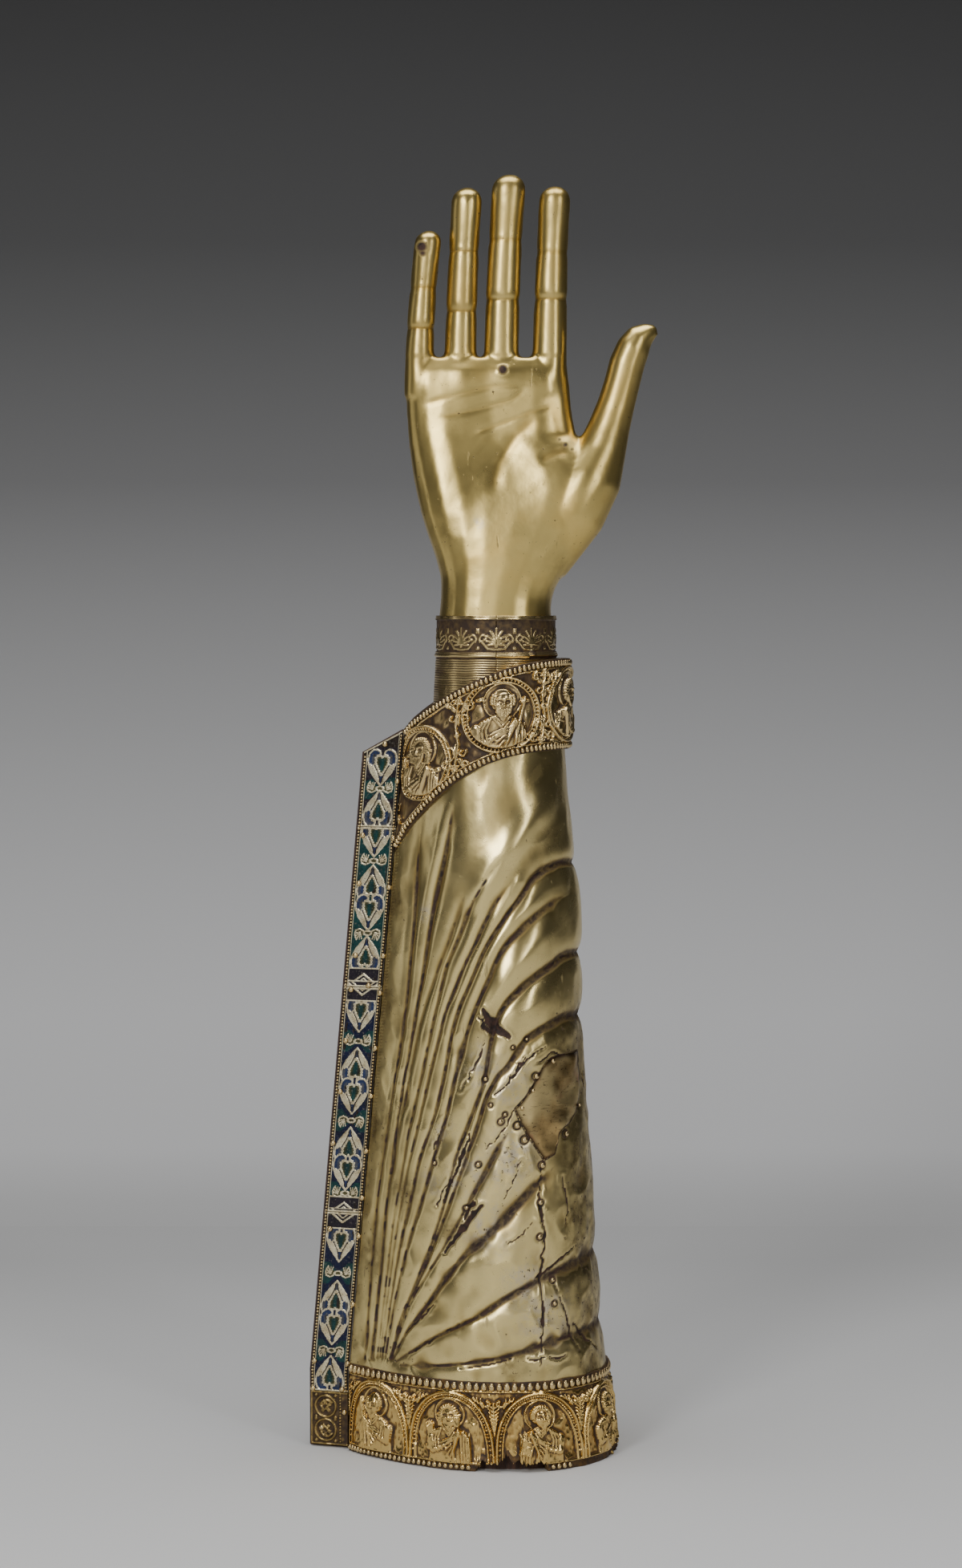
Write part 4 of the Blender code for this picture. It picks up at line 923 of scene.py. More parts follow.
def folds(length, z):
    """Height of the drapery: rounded folds between sharp valleys."""
    deepest = np.zeros(np.shape(length))
    for points, deep, wide_top, wide_foot in VALLEYS:
        best, where, _ = path_distance(length, z, VALLEY_LINES[points])
        wide = MM * (wide_top + (wide_foot - wide_top) * smooth(where * 1.15))
        open_end = points[0][0] > 717
        rise = 1.0 if open_end else smooth(where * 4.5)
        swell = MM * deep * rise * (1 - 0.62 * smooth(where * 1.3 - 0.3))
        if points[-1][1] < 1400:
            swell = swell * smooth((1 - where) * 2.6)
        groove = swell * np.exp(-np.sqrt(best ** 2 + (0.2 * wide) ** 2) / wide + 0.2)
        deepest = np.maximum(deepest, groove) + 0.25 * np.minimum(deepest, groove)
    rise = 0 * deepest
    for points, tall, wide_top, wide_foot in RIDGES:
        best, where, _ = path_distance(length, z, RIDGE_LINES[points])
        wide = MM * (wide_top + (wide_foot - wide_top) * where)
        fade = smooth(where * 3.5) * smooth((1 - where) * 3)
        rise = np.maximum(rise, MM * tall * fade * np.exp(-(best / wide) ** 2))
    return 0.0010 * smooth((0.281 - z) / 0.05) - deepest + rise


def inside(px, pz, poly):
    """Which points lie in a closed outline."""
    hit = np.zeros(np.shape(px), bool)
    for (ax, az), (bx, bz) in zip(poly, np.roll(poly, -1, axis=0)):
        cross = (az > pz) != (bz > pz)
        at = ax + (pz - az) / (bz - az + 1e-15) * (bx - ax)
        hit ^= cross & (px < at)
    return hit


VALLEY_LINES = {points: photo_path(points) for points, *_ in VALLEYS}
RIDGE_LINES = {points: photo_path(points) for points, *_ in RIDGES}
PATCH_LINE = np.array([sleeve_spot(*p) for p in PATCH])


# Rivets of the sleeve: photograph point and width in mm
RIVETS = ((689, 1317, 1.6), (668, 1336, 1.7), (625, 1393, 1.6), (645, 1398, 1.8),
          (654, 1416, 1.9), (705, 1408, 1.7), (676, 1448, 1.8), (605, 1340, 1.4),
          (597, 1447, 1.5), (581, 1502, 1.4), (543, 1445, 1.2), (674, 1495, 1.6),
          (673, 1538, 1.6), (690, 1593, 1.5), (691, 1622, 1.5), (714, 1318, 1.3),
          (664, 1354, 1.3), (652, 1376, 1.4), (640, 1300, 1.0), (658, 1290, 1.1),
          (612, 1372, 1.1), (630, 1384, 1.2), (720, 1372, 1.1))


def noise_at(u, v, seed):
    """Smooth noise at any place of a plane, the same for every grid laid on it."""
    lattice = np.random.default_rng(seed).standard_normal((128, 128))
    iu, iv = np.floor(u).astype(int), np.floor(v).astype(int)
    fu, fv = smooth(u - iu), smooth(v - iv)
    a = lattice[iu % 128, iv % 128] * (1 - fu) + lattice[(iu + 1) % 128, iv % 128] * fu
    b = (lattice[iu % 128, (iv + 1) % 128] * (1 - fu)
         + lattice[(iu + 1) % 128, (iv + 1) % 128] * fu)
    return a * (1 - fv) + b * fv


# Worn places of the sleeve, and darker places, partly discoloured and partly painted shade along
# its two edges, as photograph points with a radius
WORN = ((588, 1458, 26), (636, 1350, 24), (600, 1325, 26), (552, 1405, 16), (540, 1470, 16),
        (635, 1440, 34), (690, 1640, 40), (610, 1530, 30), (530, 1130, 10), (640, 1340, 22),
        (660, 1600, 30), (575, 1470, 22))
DULL_AND_SHADED = ((468, 1400, 40), (478, 1250, 40), (490, 1120, 34), (462, 1560, 36), (505, 1480, 26),
        (718, 1480, 30), (722, 1560, 30), (730, 1640, 36), (738, 1690, 40), (604, 1270, 18),
        (560, 1530, 16), (640, 1702, 22), (500, 1690, 20))


def spots_on(length, z, spots):
    """Soft round places, the strongest at each point."""
    total = np.zeros(np.shape(length))
    for px, py, r in spots:
        l0, z0 = sleeve_spot(px, py)
        gap = np.hypot(length - l0, z - z0) / (r * PIXEL)
        total = np.maximum(total, np.exp(-gap ** 2))
    return total


def sleeve_height(length, z, front):
    """Height over the plain outline in metres, with the marks of age and the dark marks, painted
    shade along the valley bottoms among them.
    """
    to_edge = half_length(z) - length
    near_edge = smooth(1 - to_edge / 0.016)
    share = 1.0 if front else BACK_FOLDS + (1 - BACK_FOLDS) * near_edge
    h = folds(length, z) * share
    h = h + 0.00007 * noise_at(length * 260, z * 110, 11) + 0.00020 * noise_at(
        length * 70, z * 40, 12)
    low_part = smooth((0.20 - z) / 0.06)
    crumple = np.abs(noise_at(length * 120 + z * 60, z * 90 - length * 40, 14))
    h = h - (0.00010 + 0.00022 * low_part) * crumple
    h = h + 0.0026 * np.exp(-((z - 0.215) / 0.034) ** 2) * smooth(1 - to_edge / 0.030)
    dark = np.zeros(np.shape(h))
    broken = smooth(noise_at(length * 300, z * 420, 9) * 1.2 + 0.25)
    # painted shade: dark lines along the bottoms of the deeper valleys
    for points, deep, *_ in VALLEYS:
        best, where, _ = path_distance(length, z, VALLEY_LINES[points])
        strong = bump(best, 0.0010) * smooth((deep - 0.6) / 1.2) * smooth(where * 8)
        dark = np.maximum(dark, 0.95 * strong * broken * share)
    if front:
        quiet = 1 - near_edge
        best, _, _ = path_distance(length, z, np.concatenate([PATCH_LINE, PATCH_LINE[:1]]))
        seat = inside(length, z, PATCH_LINE)
        h = h * np.where(seat, 0.0, smooth(best / 0.009))
        h = np.where(seat & (best > 0.0006), -0.0004, h)
        dark = np.maximum(dark, np.where(seat, 0.0, bump(best, 0.0010)))
        wobble = 0.0005 * noise_at(length * 700, z * 500, 5)
        for pts, wide, deep in CRACKS:
            best, where, _ = path_distance(length + wobble, z, photo_path(pts))
            line = bump(best, wide * MM * (0.5 + 0.5 * np.sin(math.pi * where))) * quiet
            h = h - MM * deep * line
            h = h + MM * 0.12 * np.exp(-((best - 1.3 * MM) / (0.6 * MM)) ** 2) * quiet
            dark = np.maximum(dark, line ** 0.4)
        for px, py, r in RIVETS:
            l0, z0 = sleeve_spot(px, py)
            gap = np.hypot(length - l0, z - z0) - 0.85 * r * MM
            ring = np.exp(-(gap / (0.62 * MM)) ** 2)
            dark = np.maximum(dark, 0.85 * ring)
            h = h - 0.00025 * ring
    return h, dark


def sleeve(name, front, cols, rows):
    alpha = even_angles(cols, 0.15)
    if not front:
        alpha = alpha[::-1]
    low = BAND_TOP - 0.0008
    top = level_on(alpha, rim_low_z) + 0.0008
    v = np.linspace(0, 1, rows)[:, None]
    z = low + (top - low)[None, :] * v
    a = rows_of(alpha, rows)
    side = np.full(a.shape, -1.0 if front else 1.0)
    length = arc_length(a, z)
    h, dark = sleeve_height(length, z, front)
    # painted shade in the hollows of the folds, at two widths, and a painted highlight on their
    # crests
    cavity = (h - blur(h, max(2, rows // 130))) / 0.00040
    wide = (h - blur(h, max(6, rows // 26))) / 0.0013
    cavity = np.clip(0.65 * cavity + 0.95 * wide, -1, 1)
    worn = dull_and_shade = 0 * h
    if front:
        patchy = 0.5 + 0.5 * noise_at(length * 330, z * 330, 3)
        worn = np.clip(spots_on(length, z, WORN) * (0.35 + 0.8 * patchy), 0, 1)
        x0, _ = base_point(a, z)
        # painted shade: darker low down near the right edge and along the joint with the strip
        shade = smooth((x0 - right_x(z) + 0.019) / 0.012) * smooth((0.20 - z) / 0.03)
        shade = np.maximum(shade, 0.7 * smooth(1 - length / 0.011))
        dull_and_shade = np.maximum(spots_on(length, z, DULL_AND_SHADED), shade)
        dull_and_shade = np.clip(dull_and_shade * (0.55 + 0.5 * patchy), 0, 1)
        milled = (smooth((length - 0.0006) / 0.0006) * smooth((0.0034 - length) / 0.0006)
                  * smooth((z - 0.115) / 0.04))
        teeth = np.sin(z * 2 * math.pi / 0.00125)
        h = h + milled * 0.00022 * teeth
        # painted shade in the troughs of the milled teeth and a painted highlight on their crests
        cavity = cavity + milled * (0.6 * teeth - 0.25)
    outer = place(a, side, z, h)
    outer[:, -1 if front else 0, 1] = 0.0
    every = slice(None, None, 20)
    inner = place(a[every], side[every], z[every], -SHEET + 0 * z[every])
    obj = skin(name, outer, inner, GILT,
               {"cavity": cavity, "dark": dark, "worn": worn, "dull_and_shade": dull_and_shade})
    return keep(obj, "gilt_silver", "sleeve_sheet")


def surface(length, z, side, lift):
    """A point on the sleeve with its outward normal, for beads and nails."""
    alpha = angle_at(length, z)
    p = place(np.array([alpha]), np.array([side]), np.array([z]), np.array([lift]))[0]
    q = place(np.array([alpha]), np.array([side]), np.array([z]), np.array([lift + MM]))[0]
    n = (q - p) / np.linalg.norm(q - p)
    return p, n


# Foot band

def palmette(rel, x, top, drop):
    """Two scroll heads over a leaf with slanting ribs that hangs between two arches."""
    rel.cord([(x, top), (x, top - drop)], 0.50, 1.5, thin=0.5)
    for k in range(7):
        t = (k + 1.2) / 8.5
        reach = 2.6 * (1 - t) ** 0.7
        for side in (-1, 1):
            rel.cord([(x + side * 0.25, top - drop * t), (x + side * reach, top - drop * t + 1.5)],
                     0.48, 1.45, thin=0.8)
    for side in (-1, 1):
        rel.curl(x + side * 2.3, top + 0.4, 1.9, math.pi / 2 - side * 1.7, -side * 4.6, 0.55, 1.6)
        rel.cord([(x + side * 4.0, top - 1.6), (x + side * 5.2, top + 0.2),
                  (x + side * 8.4, top + 2.0)], 0.55, 1.4, thin=0.5)
        for k in range(3):
            rel.cord([(x + side * (4.6 + 1.2 * k), top - 0.4 + 0.7 * k),
                      (x + side * (4.9 + 1.5 * k), top + 1.9 + 0.2 * k)], 0.45, 1.4, thin=0.6)


def relief_tone(h, ground, reach):
    """Cavity from the height in mm, for painted shade: narrow recesses and their surroundings are
    low, and the heights are raised as a painted highlight.
    """
    fine = np.clip((h - blur(h, reach)) / 0.24, -1, 1)
    broad = np.clip((h - blur(h, 3 * reach)) / 0.80, -1, 1)
    low = np.clip((h - 0.6) / 1.4, -0.5, 0.4)
    return np.clip(0.60 * fine + 0.50 * broad + ground * low, -1, 1)


# Foot band: where its outline is measured, its arches and heads, the lines of each arch
# (inset, width, height; width 0 is dotted) and its bead rows (level, pitch, height, depth)
FOOT_MID_Z, ARCHES = 0.015, 8
ARCH_FOOT, ARCH_TALL, HEAD_Z, HEAD_HALF = 3.2, 27.2, 21.3, 2.9
ARCH_LINES = ((0.0, 0.62, 1.8), (1.1, 0.0, 1.3), (2.1, 0.40, 1.3))
FOOT_BEADS = ((BAND_TOP - 0.0019, 2.9, 1.75, 1.0), (0.0016, 2.3, 1.15, 0.95))


def arcade(rel, total):
    """Round arches with a half figure in each and palmettes between them."""
    pitch = total / ARCHES
    reach = 0.482 * pitch
    for k in range(ARCHES):
        cx = (k + 0.5) * pitch
        style, face, lead, prop = PEOPLE[k]
        half_figure(rel, cx, HEAD_Z, HEAD_HALF, face, lead, style, prop, 3.0)
        t = np.linspace(0, math.pi, 58)
        for inset, w, up in ARCH_LINES:
            arch = np.stack([cx + (reach - inset) * np.cos(t),
                             ARCH_FOOT + (ARCH_TALL - inset) * np.sin(t) ** 0.72], axis=1)
            if w:
                rel.cord(arch, w, up)
            else:
                rel.dots(arch, 0.42, up)
        palmette(rel, k * pitch, 26.6, 12.5)
    rel.h[:] = np.maximum(rel.h, 0)


def foot_beads():
    """Bead rows along the foot band; the lower one is lost where the border is broken."""
    spots = []
    for level, pitch, tall, deep in FOOT_BEADS:
        row_half = float(half_length(level))
        count = int(2 * row_half / (pitch * MM))
        for k in range(count):
            at = (k + 0.5) / count * 2 * row_half
            sd = -1.0 if at < row_half else 1.0
            run = at if sd < 0 else 2 * row_half - at
            p, n = surface(run, level, sd, BAND_GROUND + 0.0006
                           + BAND_FLARE * (1 - level / BAND_TOP) ** 2)
            if level < 0.01 and sd < 0 and (-0.003 < p[0] < 0.0265 or p[0] > 0.036):
                continue
            t = np.cross(n, UP)
            size = 1 + 0.06 * math.sin(k * 2.3) + 0.05 * math.sin(k * 5.1)
            spots.append((p, t * pitch * 0.44 * MM * size, UP * tall * MM * size,
                          n * deep * MM))
    beads("foot_band_beads", spots, BEAD, "gilt_silver_relief")


def foot_band():
    """Foot band: the arcade between its borders, battered, with the lower border broken."""
    cols, cols_back, rows = 560, 200, 116
    alpha, side = ring_angles(cols, cols_back, FOOT_MID_Z)
    half = float(half_length(FOOT_MID_Z))
    z = np.linspace(0, 1, rows)[:, None] * BAND_TOP + 0 * alpha[None, :]
    a = rows_of(alpha, rows)
    s = rows_of(side, rows)
    arc = arc_length(a, z)
    scale = half / np.maximum(arc_length(a * 0, z), 1e-9)
    arc = arc * scale
    length = np.where(s > 0, 2 * half - arc, arc)
    rel = Relief(length * 1000, z * 1000)
    arcade(rel, 2000 * half)
    edge_low, edge_top = rel.z, BAND_TOP * 1000 - rel.z
    bed = (edge_low < 2.9) | (edge_top < 3.5)
    rel.h = np.where(bed, 0.25, rel.h)
    rel.h = np.maximum(rel.h, 1.0 * bump(edge_low - 3.2, 0.38))
    rel.h = np.maximum(rel.h, 1.0 * bump(edge_top - 3.8, 0.38))
    battered = wavy(z.shape, (10, 60), 21) * 0.22 + wavy(z.shape, (26, 200), 22) * 0.07
    h = rel.h + battered
    ruin = np.where(s < 0, smooth((arc - half + 0.022) / 0.010), 0) * smooth((0.014 - z) / 0.010)
    h = h * (1 - 0.75 * ruin) + ruin * wavy(z.shape, (30, 320), 23) * 0.5
    x0, _ = base_point(a, z)
    front = s < 0
    ragged = wavy((1, z.shape[1]), (1, 420), 24)[0] * 0.0008
    gone = 0.0036 * smooth((x0 + 0.002) / 0.002) * smooth((0.026 - x0) / 0.002)
    gone = gone + 0.0034 * np.exp(-((x0 - 0.0103) / 0.0016) ** 2)
    gone = np.where(front & (gone > 0.0005), gone + ragged[None, :], 0.0)
    gone = gone + np.where(front, 0.0016 * smooth((arc - half + 0.022) / 0.01), 0) \
        * np.clip(0.6 + ragged[None, :] * 900, 0, 2)
    gone = np.clip(gone[0:1, :], 0, None)
    z2 = gone + (BAND_TOP - gone) * np.linspace(0, 1, rows)[:, None]
    row_at = np.clip((z2 / BAND_TOP) * (rows - 1), 0, rows - 1)
    i0 = np.minimum(row_at.astype(int), rows - 2)
    f = row_at - i0
    j = np.arange(z.shape[1])[None, :]
    h2 = h[i0, j] * (1 - f) + h[i0 + 1, j] * f
    # painted shade: the bed under the bead rows is dark, and the recesses are shaded from the
    # height
    cavity = np.where(bed & (h2 < 0.8), -0.80, relief_tone(h2, 0.12, 2))
    flare = BAND_FLARE * (1 - z2 / BAND_TOP) ** 2
    outer = place(a, s, z2, BAND_GROUND + flare + h2 * MM)
    ends = z2[[0, -1]]
    inner = place(a[:2], s[:2], ends, -SHEET + 0 * ends)
    dark = np.clip(ruin * 0.42 * (0.6 + 0.5 * wavy(z.shape, (16, 200), 27)), 0, 1)
    obj = skin("foot_band_relief", outer, inner, GILT_RELIEF, {"cavity": cavity, "dark": dark})
    keep(obj, "gilt_silver_relief", "lower_apostle_band")
    foot_beads()


# Mouth band

# Upper band: where its outline is measured, and its medallions' rings in mm
MOUTH_LOW_Z, MOUTH_MID_Z = 0.29, 0.30
MEDAL_FIELD, MEDAL_INNER, MEDAL_DOTS, MEDAL_OUTER = 16.6, 12.9, 13.75, 14.6


def scrolls(rel, gx, gz, low, top):
    """The scrolls, leaves and berries between two medallions."""
    for up in (-1, 1):
        for sx in (-1, 1):
            rel.curl(gx + 2.5 * sx, gz + 6.6 * up, 2.0, -up * sx * 0.4, up * sx * 4.6, 0.55, 1.8)
            rel.curl(gx + 3.8 * sx, gz + 11.4 * up, 2.3, up * 0.9, -up * sx * 4.4, 0.60, 1.8)
            rel.leaf(gx + 0.8 * sx, gz + 8.6 * up, 5.2, 2.4, up * (math.pi / 2 - 0.75 * sx),
                     1.5, 3)
            rel.leaf(gx + 6.0 * sx, gz + 13.4 * up, 4.6, 2.2, up * (math.pi / 2 - 1.35 * sx),
                     1.4, 2)
        rel.leaf(gx, gz + 3.0 * up, 6.4, 2.6, up * math.pi / 2, 1.7, 4)
        for row in range(4):
            for bx in range(row + 1):
                rel.dome(gx + 1.05 * (bx - 0.5 * row), gz + up * (15.2 - 1.0 * row),
                         0.58, 0.58, 1.9)
    rel.cord([(gx, low + 3), (gx + 0.9, gz - 4), (gx - 0.9, gz + 4), (gx, top - 3)], 0.55, 1.6)
    rel.dome(gx, gz, 1.5, 1.5, 2.0)


def mouth_beads(alpha, side, low, top, lean):
    """Bead rows along both edges of the slanting band."""
    spots = []
    for edge_line, inset in ((low, 1), (top, -1)):
        pts = place(alpha, side, edge_line + inset * 0.0016 / lean, BAND_GROUND + 0.0006)
        step = np.concatenate([[0], np.cumsum(np.linalg.norm(np.diff(pts, axis=0), axis=1))])
        outs = place(alpha, side, edge_line + inset * 0.0016 / lean, BAND_GROUND + 0.0016) - pts
        count = int(step[-1] / 0.0020)
        for k in range(count):
            at = (k + 0.5) / count * step[-1]
            p = np.array([np.interp(at, step, pts[:, c]) for c in range(3)])
            n = np.array([np.interp(at, step, outs[:, c]) for c in range(3)])
            n /= np.linalg.norm(n)
            q = np.array([np.interp(at + 0.001, step, pts[:, c]) for c in range(3)])
            t = q - p
            t = t - n * (t @ n)
            t /= np.linalg.norm(t) + 1e-12
            size = 1 + 0.07 * math.sin(k * 1.9) + 0.05 * math.sin(k * 4.7)
            spots.append((p, t * 0.92 * MM * size, np.cross(n, t) * 1.35 * MM * size,
                          n * 0.95 * MM))
    beads("mouth_band_beads", spots, BEAD, "gilt_silver_relief")


def mouth_band():
    """Upper band: medallions with half figures, and scrolls between them."""
    cols_f, cols_b, rows = 400, 150, 122
    alpha, side = ring_angles(cols_f, cols_b, MOUTH_LOW_Z)
    low, top = level_on(alpha, rim_low_z), level_on(alpha, rim_z)
    z = low[None, :] + (top - low)[None, :] * np.linspace(0, 1, rows)[:, None]
    a = rows_of(alpha, rows)
    s = rows_of(side, rows)
    half = float(half_length(MOUTH_MID_Z))
    arc = arc_length(a, z)
    length = np.where(s > 0, 2 * half - arc, arc)
    mid = 0.5 * (low + top)
    arc_mid = arc_length(alpha, mid)
    run = np.where(side > 0, 2 * half - arc_mid, arc_mid)
    rel = Relief(length * 1000, z * 1000)

    def height_at(at, line):
        return float(1000 * np.interp(at / 1000, run, line))

    discs = np.zeros(z.shape)
    for number, (style, face, lead, prop) in enumerate(MOUTH_PEOPLE):
        cx = FIRST_MEDAL + MEDAL_STEP * number
        cz = height_at(cx, mid)
        half_figure(rel, cx, cz + 4.7, 3.45, face, lead, style, prop, cz - 13)
        r = np.hypot(rel.x - cx, rel.z - cz)
        near = np.abs(rel.x - cx) < MEDAL_FIELD
        rel.h = np.where(near & (r > MEDAL_INNER), 0, rel.h)
        discs = np.maximum(discs, smooth((13.5 - r) / 0.6))
        rel.ring(cx, cz, MEDAL_OUTER, 0.60, 1.9)
        rel.ring(cx, cz, MEDAL_INNER, 0.38, 1.4)
        for k in range(60):
            b = 2 * math.pi * k / 60
            rel.dome(cx + MEDAL_DOTS * math.cos(b), cz + MEDAL_DOTS * math.sin(b),
                     0.44, 0.44, 1.4)
    for k in range(-1, 5):
        gx = FIRST_MEDAL + MEDAL_STEP * (k + 0.5)
        if gx > 2000 * half:
            continue
        scrolls(rel, gx, height_at(gx, mid), height_at(gx, low), height_at(gx, top))
    rel.h = np.maximum(rel.h, 0)
    slope = np.gradient(mid, run)
    lean = 1 / np.sqrt(1 + slope ** 2)
    edge_low = (z - low[None, :]) * 1000 * lean[None, :]
    edge_top = (top[None, :] - z) * 1000 * lean[None, :]
    for edge in (edge_low, edge_top):
        rel.h = np.where(edge < 2.9, 0.25, rel.h)
        rel.h = np.maximum(rel.h, 1.05 * bump(edge - 3.2, 0.38))
    h = rel.h + wavy(z.shape, (10, 50), 31) * 0.15
    # painted shade in the recesses, stronger outside the medallions, and in the beds under the
    # bead rows
    cavity = relief_tone(h, 0.15 + 0.75 * (1 - discs), 2)
    bed = (edge_low < 2.9) | (edge_top < 2.9)
    cavity = np.where(bed, -0.85, cavity)
    outer = place(a, s, z, BAND_GROUND + h * MM)
    ends = z[[0, -1]]
    inner = place(a[:2], s[:2], ends, -SHEET + 0 * ends)
    obj = skin("mouth_band_relief", outer, inner, GILT_MOUTH, {"cavity": cavity})
    keep(obj, "gilt_silver_relief", "upper_apostle_band")
    mouth_beads(alpha, side, low, top, lean)


# Border strip

def strip_point(share, z, rise, back=False):
    """A point of the border strip, by its share of the way from edge to joint."""
    ex, jx = edge_x(z), joint_x(z)
    sign = 1.0 if back else -1.0
    ey = EDGE_SHIFT + sign * EDGE_HALF
    jy = sign * JOINT_HALF
    dx, dy = jx - ex, jy - ey
    size = np.hypot(dx, dy)
    nx, ny = dy / size * -sign, dx / size * sign
    return np.stack([ex + dx * share + nx * rise, ey + dy * share + ny * rise, z + 0 * ex],
                    axis=-1)


def strip_top(share):
    z = np.full(np.shape(share), EDGE_TOP_Z)
    corner, joint = edge_x(EDGE_TOP_Z), joint_x(0.289)
    for _ in range(4):
        x = edge_x(z) + (joint_x(z) - edge_x(z)) * share
        z = EDGE_TOP_Z + (rim_z(joint) - EDGE_TOP_Z) * (x - corner) / (joint - corner) - 0.0006
    return z


TINTS = {"blue": (0.008, 0.012, 0.042), "purple": (0.022, 0.016, 0.024),
         "lobe": (0.022, 0.038, 0.105), "grey": (0.075, 0.080, 0.100),
         "green": (0.016, 0.040, 0.026), "teal": (0.008, 0.052, 0.050),
         "olive": (0.090, 0.082, 0.030), "brown": (0.026, 0.017, 0.012)}
HEART = ((0.0, -7.2), (2.1, -4.7), (4.3, -1.8), (5.6, 1.2), (5.9, 3.5), (5.3, 5.7), (3.9, 7.0),
         (2.4, 7.2), (1.1, 6.5), (0.8, 5.4), (1.6, 4.8))
LEAF = ((0.0, -3.2), (1.4, -1.1), (2.6, 1.5), (2.6, 3.8), (1.5, 5.0), (0.0, 4.2))
STEM = ((3.3, 1.1), (2.2, -0.6), (1.2, -2.6), (0.55, -4.6), (0.3, -6.6))
LOOP = ((0.8, 0.1), (1.9, -1.1), (3.4, -1.7), (4.9, -1.1), (5.3, 0.3), (4.9, 1.6), (4.3, 2.6))


def line_gap(x, z, line):
    best = np.full(np.shape(x), 99.0)
    along = np.zeros(np.shape(x))
    total = 0.0
    for (ax, az), (bx, bz) in zip(line[:-1], line[1:]):
        dx, dz = bx - ax, bz - az
        size = math.hypot(dx, dz)
        t = np.clip(((x - ax) * dx + (z - az) * dz) / (size * size), 0, 1)
        gap = np.hypot(x - ax - t * dx, z - az - t * dz)
        near = gap < best
        best = np.where(near, gap, best)
        along = np.where(near, total + t * size, along)
        total += size
    return best, along


def draw_heart(u, v, tint, metal, tone):
    """One heart with its lobes up: u is the distance from the middle line, in mm."""
    side = np.abs(u)
    body = inside(side, v, np.array(HEART[:9] + ((0.4, 4.6), (0.0, 4.2))))
    tint[body] = TINTS["grey"] if tone > 0.5 else TINTS["lobe"]
    inner = body & (line_gap(side, v, HEART)[0] > 1.5) & (v > 0.5)
    tint[inner] = TINTS["lobe"] if tone > 0.5 else TINTS["grey"]
    metal[body] = 0.0
    gap, along = line_gap(side, v, STEM)
    right = np.interp(v, [-7.2, -4.6, -2.6, -0.6, 1.1, 1.9],
                      [0.28, 0.55, 1.2, 2.2, 3.3, 4.6])
    tooth = 0.30 * np.abs(np.sin(along * 2.6))
    cream = body & (side > right - 0.05 + tooth) & (v < 1.2 + 0.35 * np.cos(side * 4.0))
    metal[cream] = 1.0
    leaf = inside(side, v, np.array(LEAF))
    gap, along = line_gap(side, v, LEAF)
    scallop = 0.26 * np.cos(along * 5.4)
    tint[leaf] = TINTS["olive"]
    core = leaf & (gap > 1.0 + 0.3 * np.sin(along * 5.4))
    tint[core] = TINTS["green"]
    tint[leaf & (side < 0.75) & (v > -1.6)] = TINTS["teal"]
    metal[leaf] = 0.0
    metal[(np.abs(gap - 0.16 + scallop * 0.7) < 0.30) & (v > -3.4)] = 1.0
    gap, _ = line_gap(side, v, STEM)
    stem = body & (gap < 0.22) & (v < 0.4)
    tint[stem] = TINTS["brown"]
    metal[stem] = 0.0
    gap, _ = line_gap(side, v, HEART)
    metal[gap < 0.34] = 1.0


def draw_tie(u, v, tint, metal):
    """The knot between two hearts: a ribbed loop at each side and a cup."""
    side = np.abs(u)
    loop = inside(side, v, np.array(LOOP))
    tint[loop] = TINTS["olive"]
    metal[loop] = 0.0
    gap, _ = line_gap(side, v, LOOP)
    metal[gap < 0.27] = 1.0
    for k in range(5):
        a = 0.25 + 0.42 * k
        rib = ((3.0, -0.5), (3.0 + 2.3 * math.cos(a), -0.5 + 2.9 * math.sin(a)))
        metal[line_gap(side, v, rib)[0] < 0.20] = 1.0
    cup = np.hypot(u / 1.55, (v + 0.1) / 0.85)
    tint[cup < 1] = TINTS["olive"]
    metal[cup < 1] = 0.0
    metal[np.abs(cup - 1) < 0.28] = 1.0


def enamel_field(x, z, motifs, ground):
    """Tint and metal of one plaque: x from the middle and z up, in mm."""
    tint = np.empty(x.shape + (3,))
    tint[:] = TINTS[ground]
    metal = np.zeros(x.shape)
    if ground == "purple":
        tint[z > motifs[0][1] + 8.0] = TINTS["brown"]
    for number, (kind, cz) in enumerate(motifs):
        rows = np.nonzero(np.abs(z[:, 32] - cz) < (9.5 if kind != "tie" else 5.0))[0]
        if len(rows) == 0:
            continue
        s = slice(rows[0], rows[-1] + 1)
        u, v = x[s], z[s] - cz
        if kind == "tie":
            wedge = (np.abs(v) < 4.4) & (np.abs(x[s]) > 0.9 * np.abs(v)) & (metal[s] < 0.5)
            tint[s][wedge] = TINTS["teal" if number % 3 == 1 else ground]
            flip = 1 if number % 2 else -1
            draw_tie(u, v * flip, tint[s], metal[s])
        else:
            flip = 1 if kind == "up" else -1
            draw_heart(u, v * flip, tint[s], metal[s], (number * 0.37 + 0.2) % 1.0)
    return tint, metal


# The strip's face: share of the way from its edge to the joint, and its width in mm
STRIP_FROM, STRIP_TO, STRIP_MID, STRIP_WIDE = 0.05, 0.97, 0.51, 17.0
FIELD_HALF, LIP_HALF, BEAD_INSET = 6.1, 6.65, 0.042

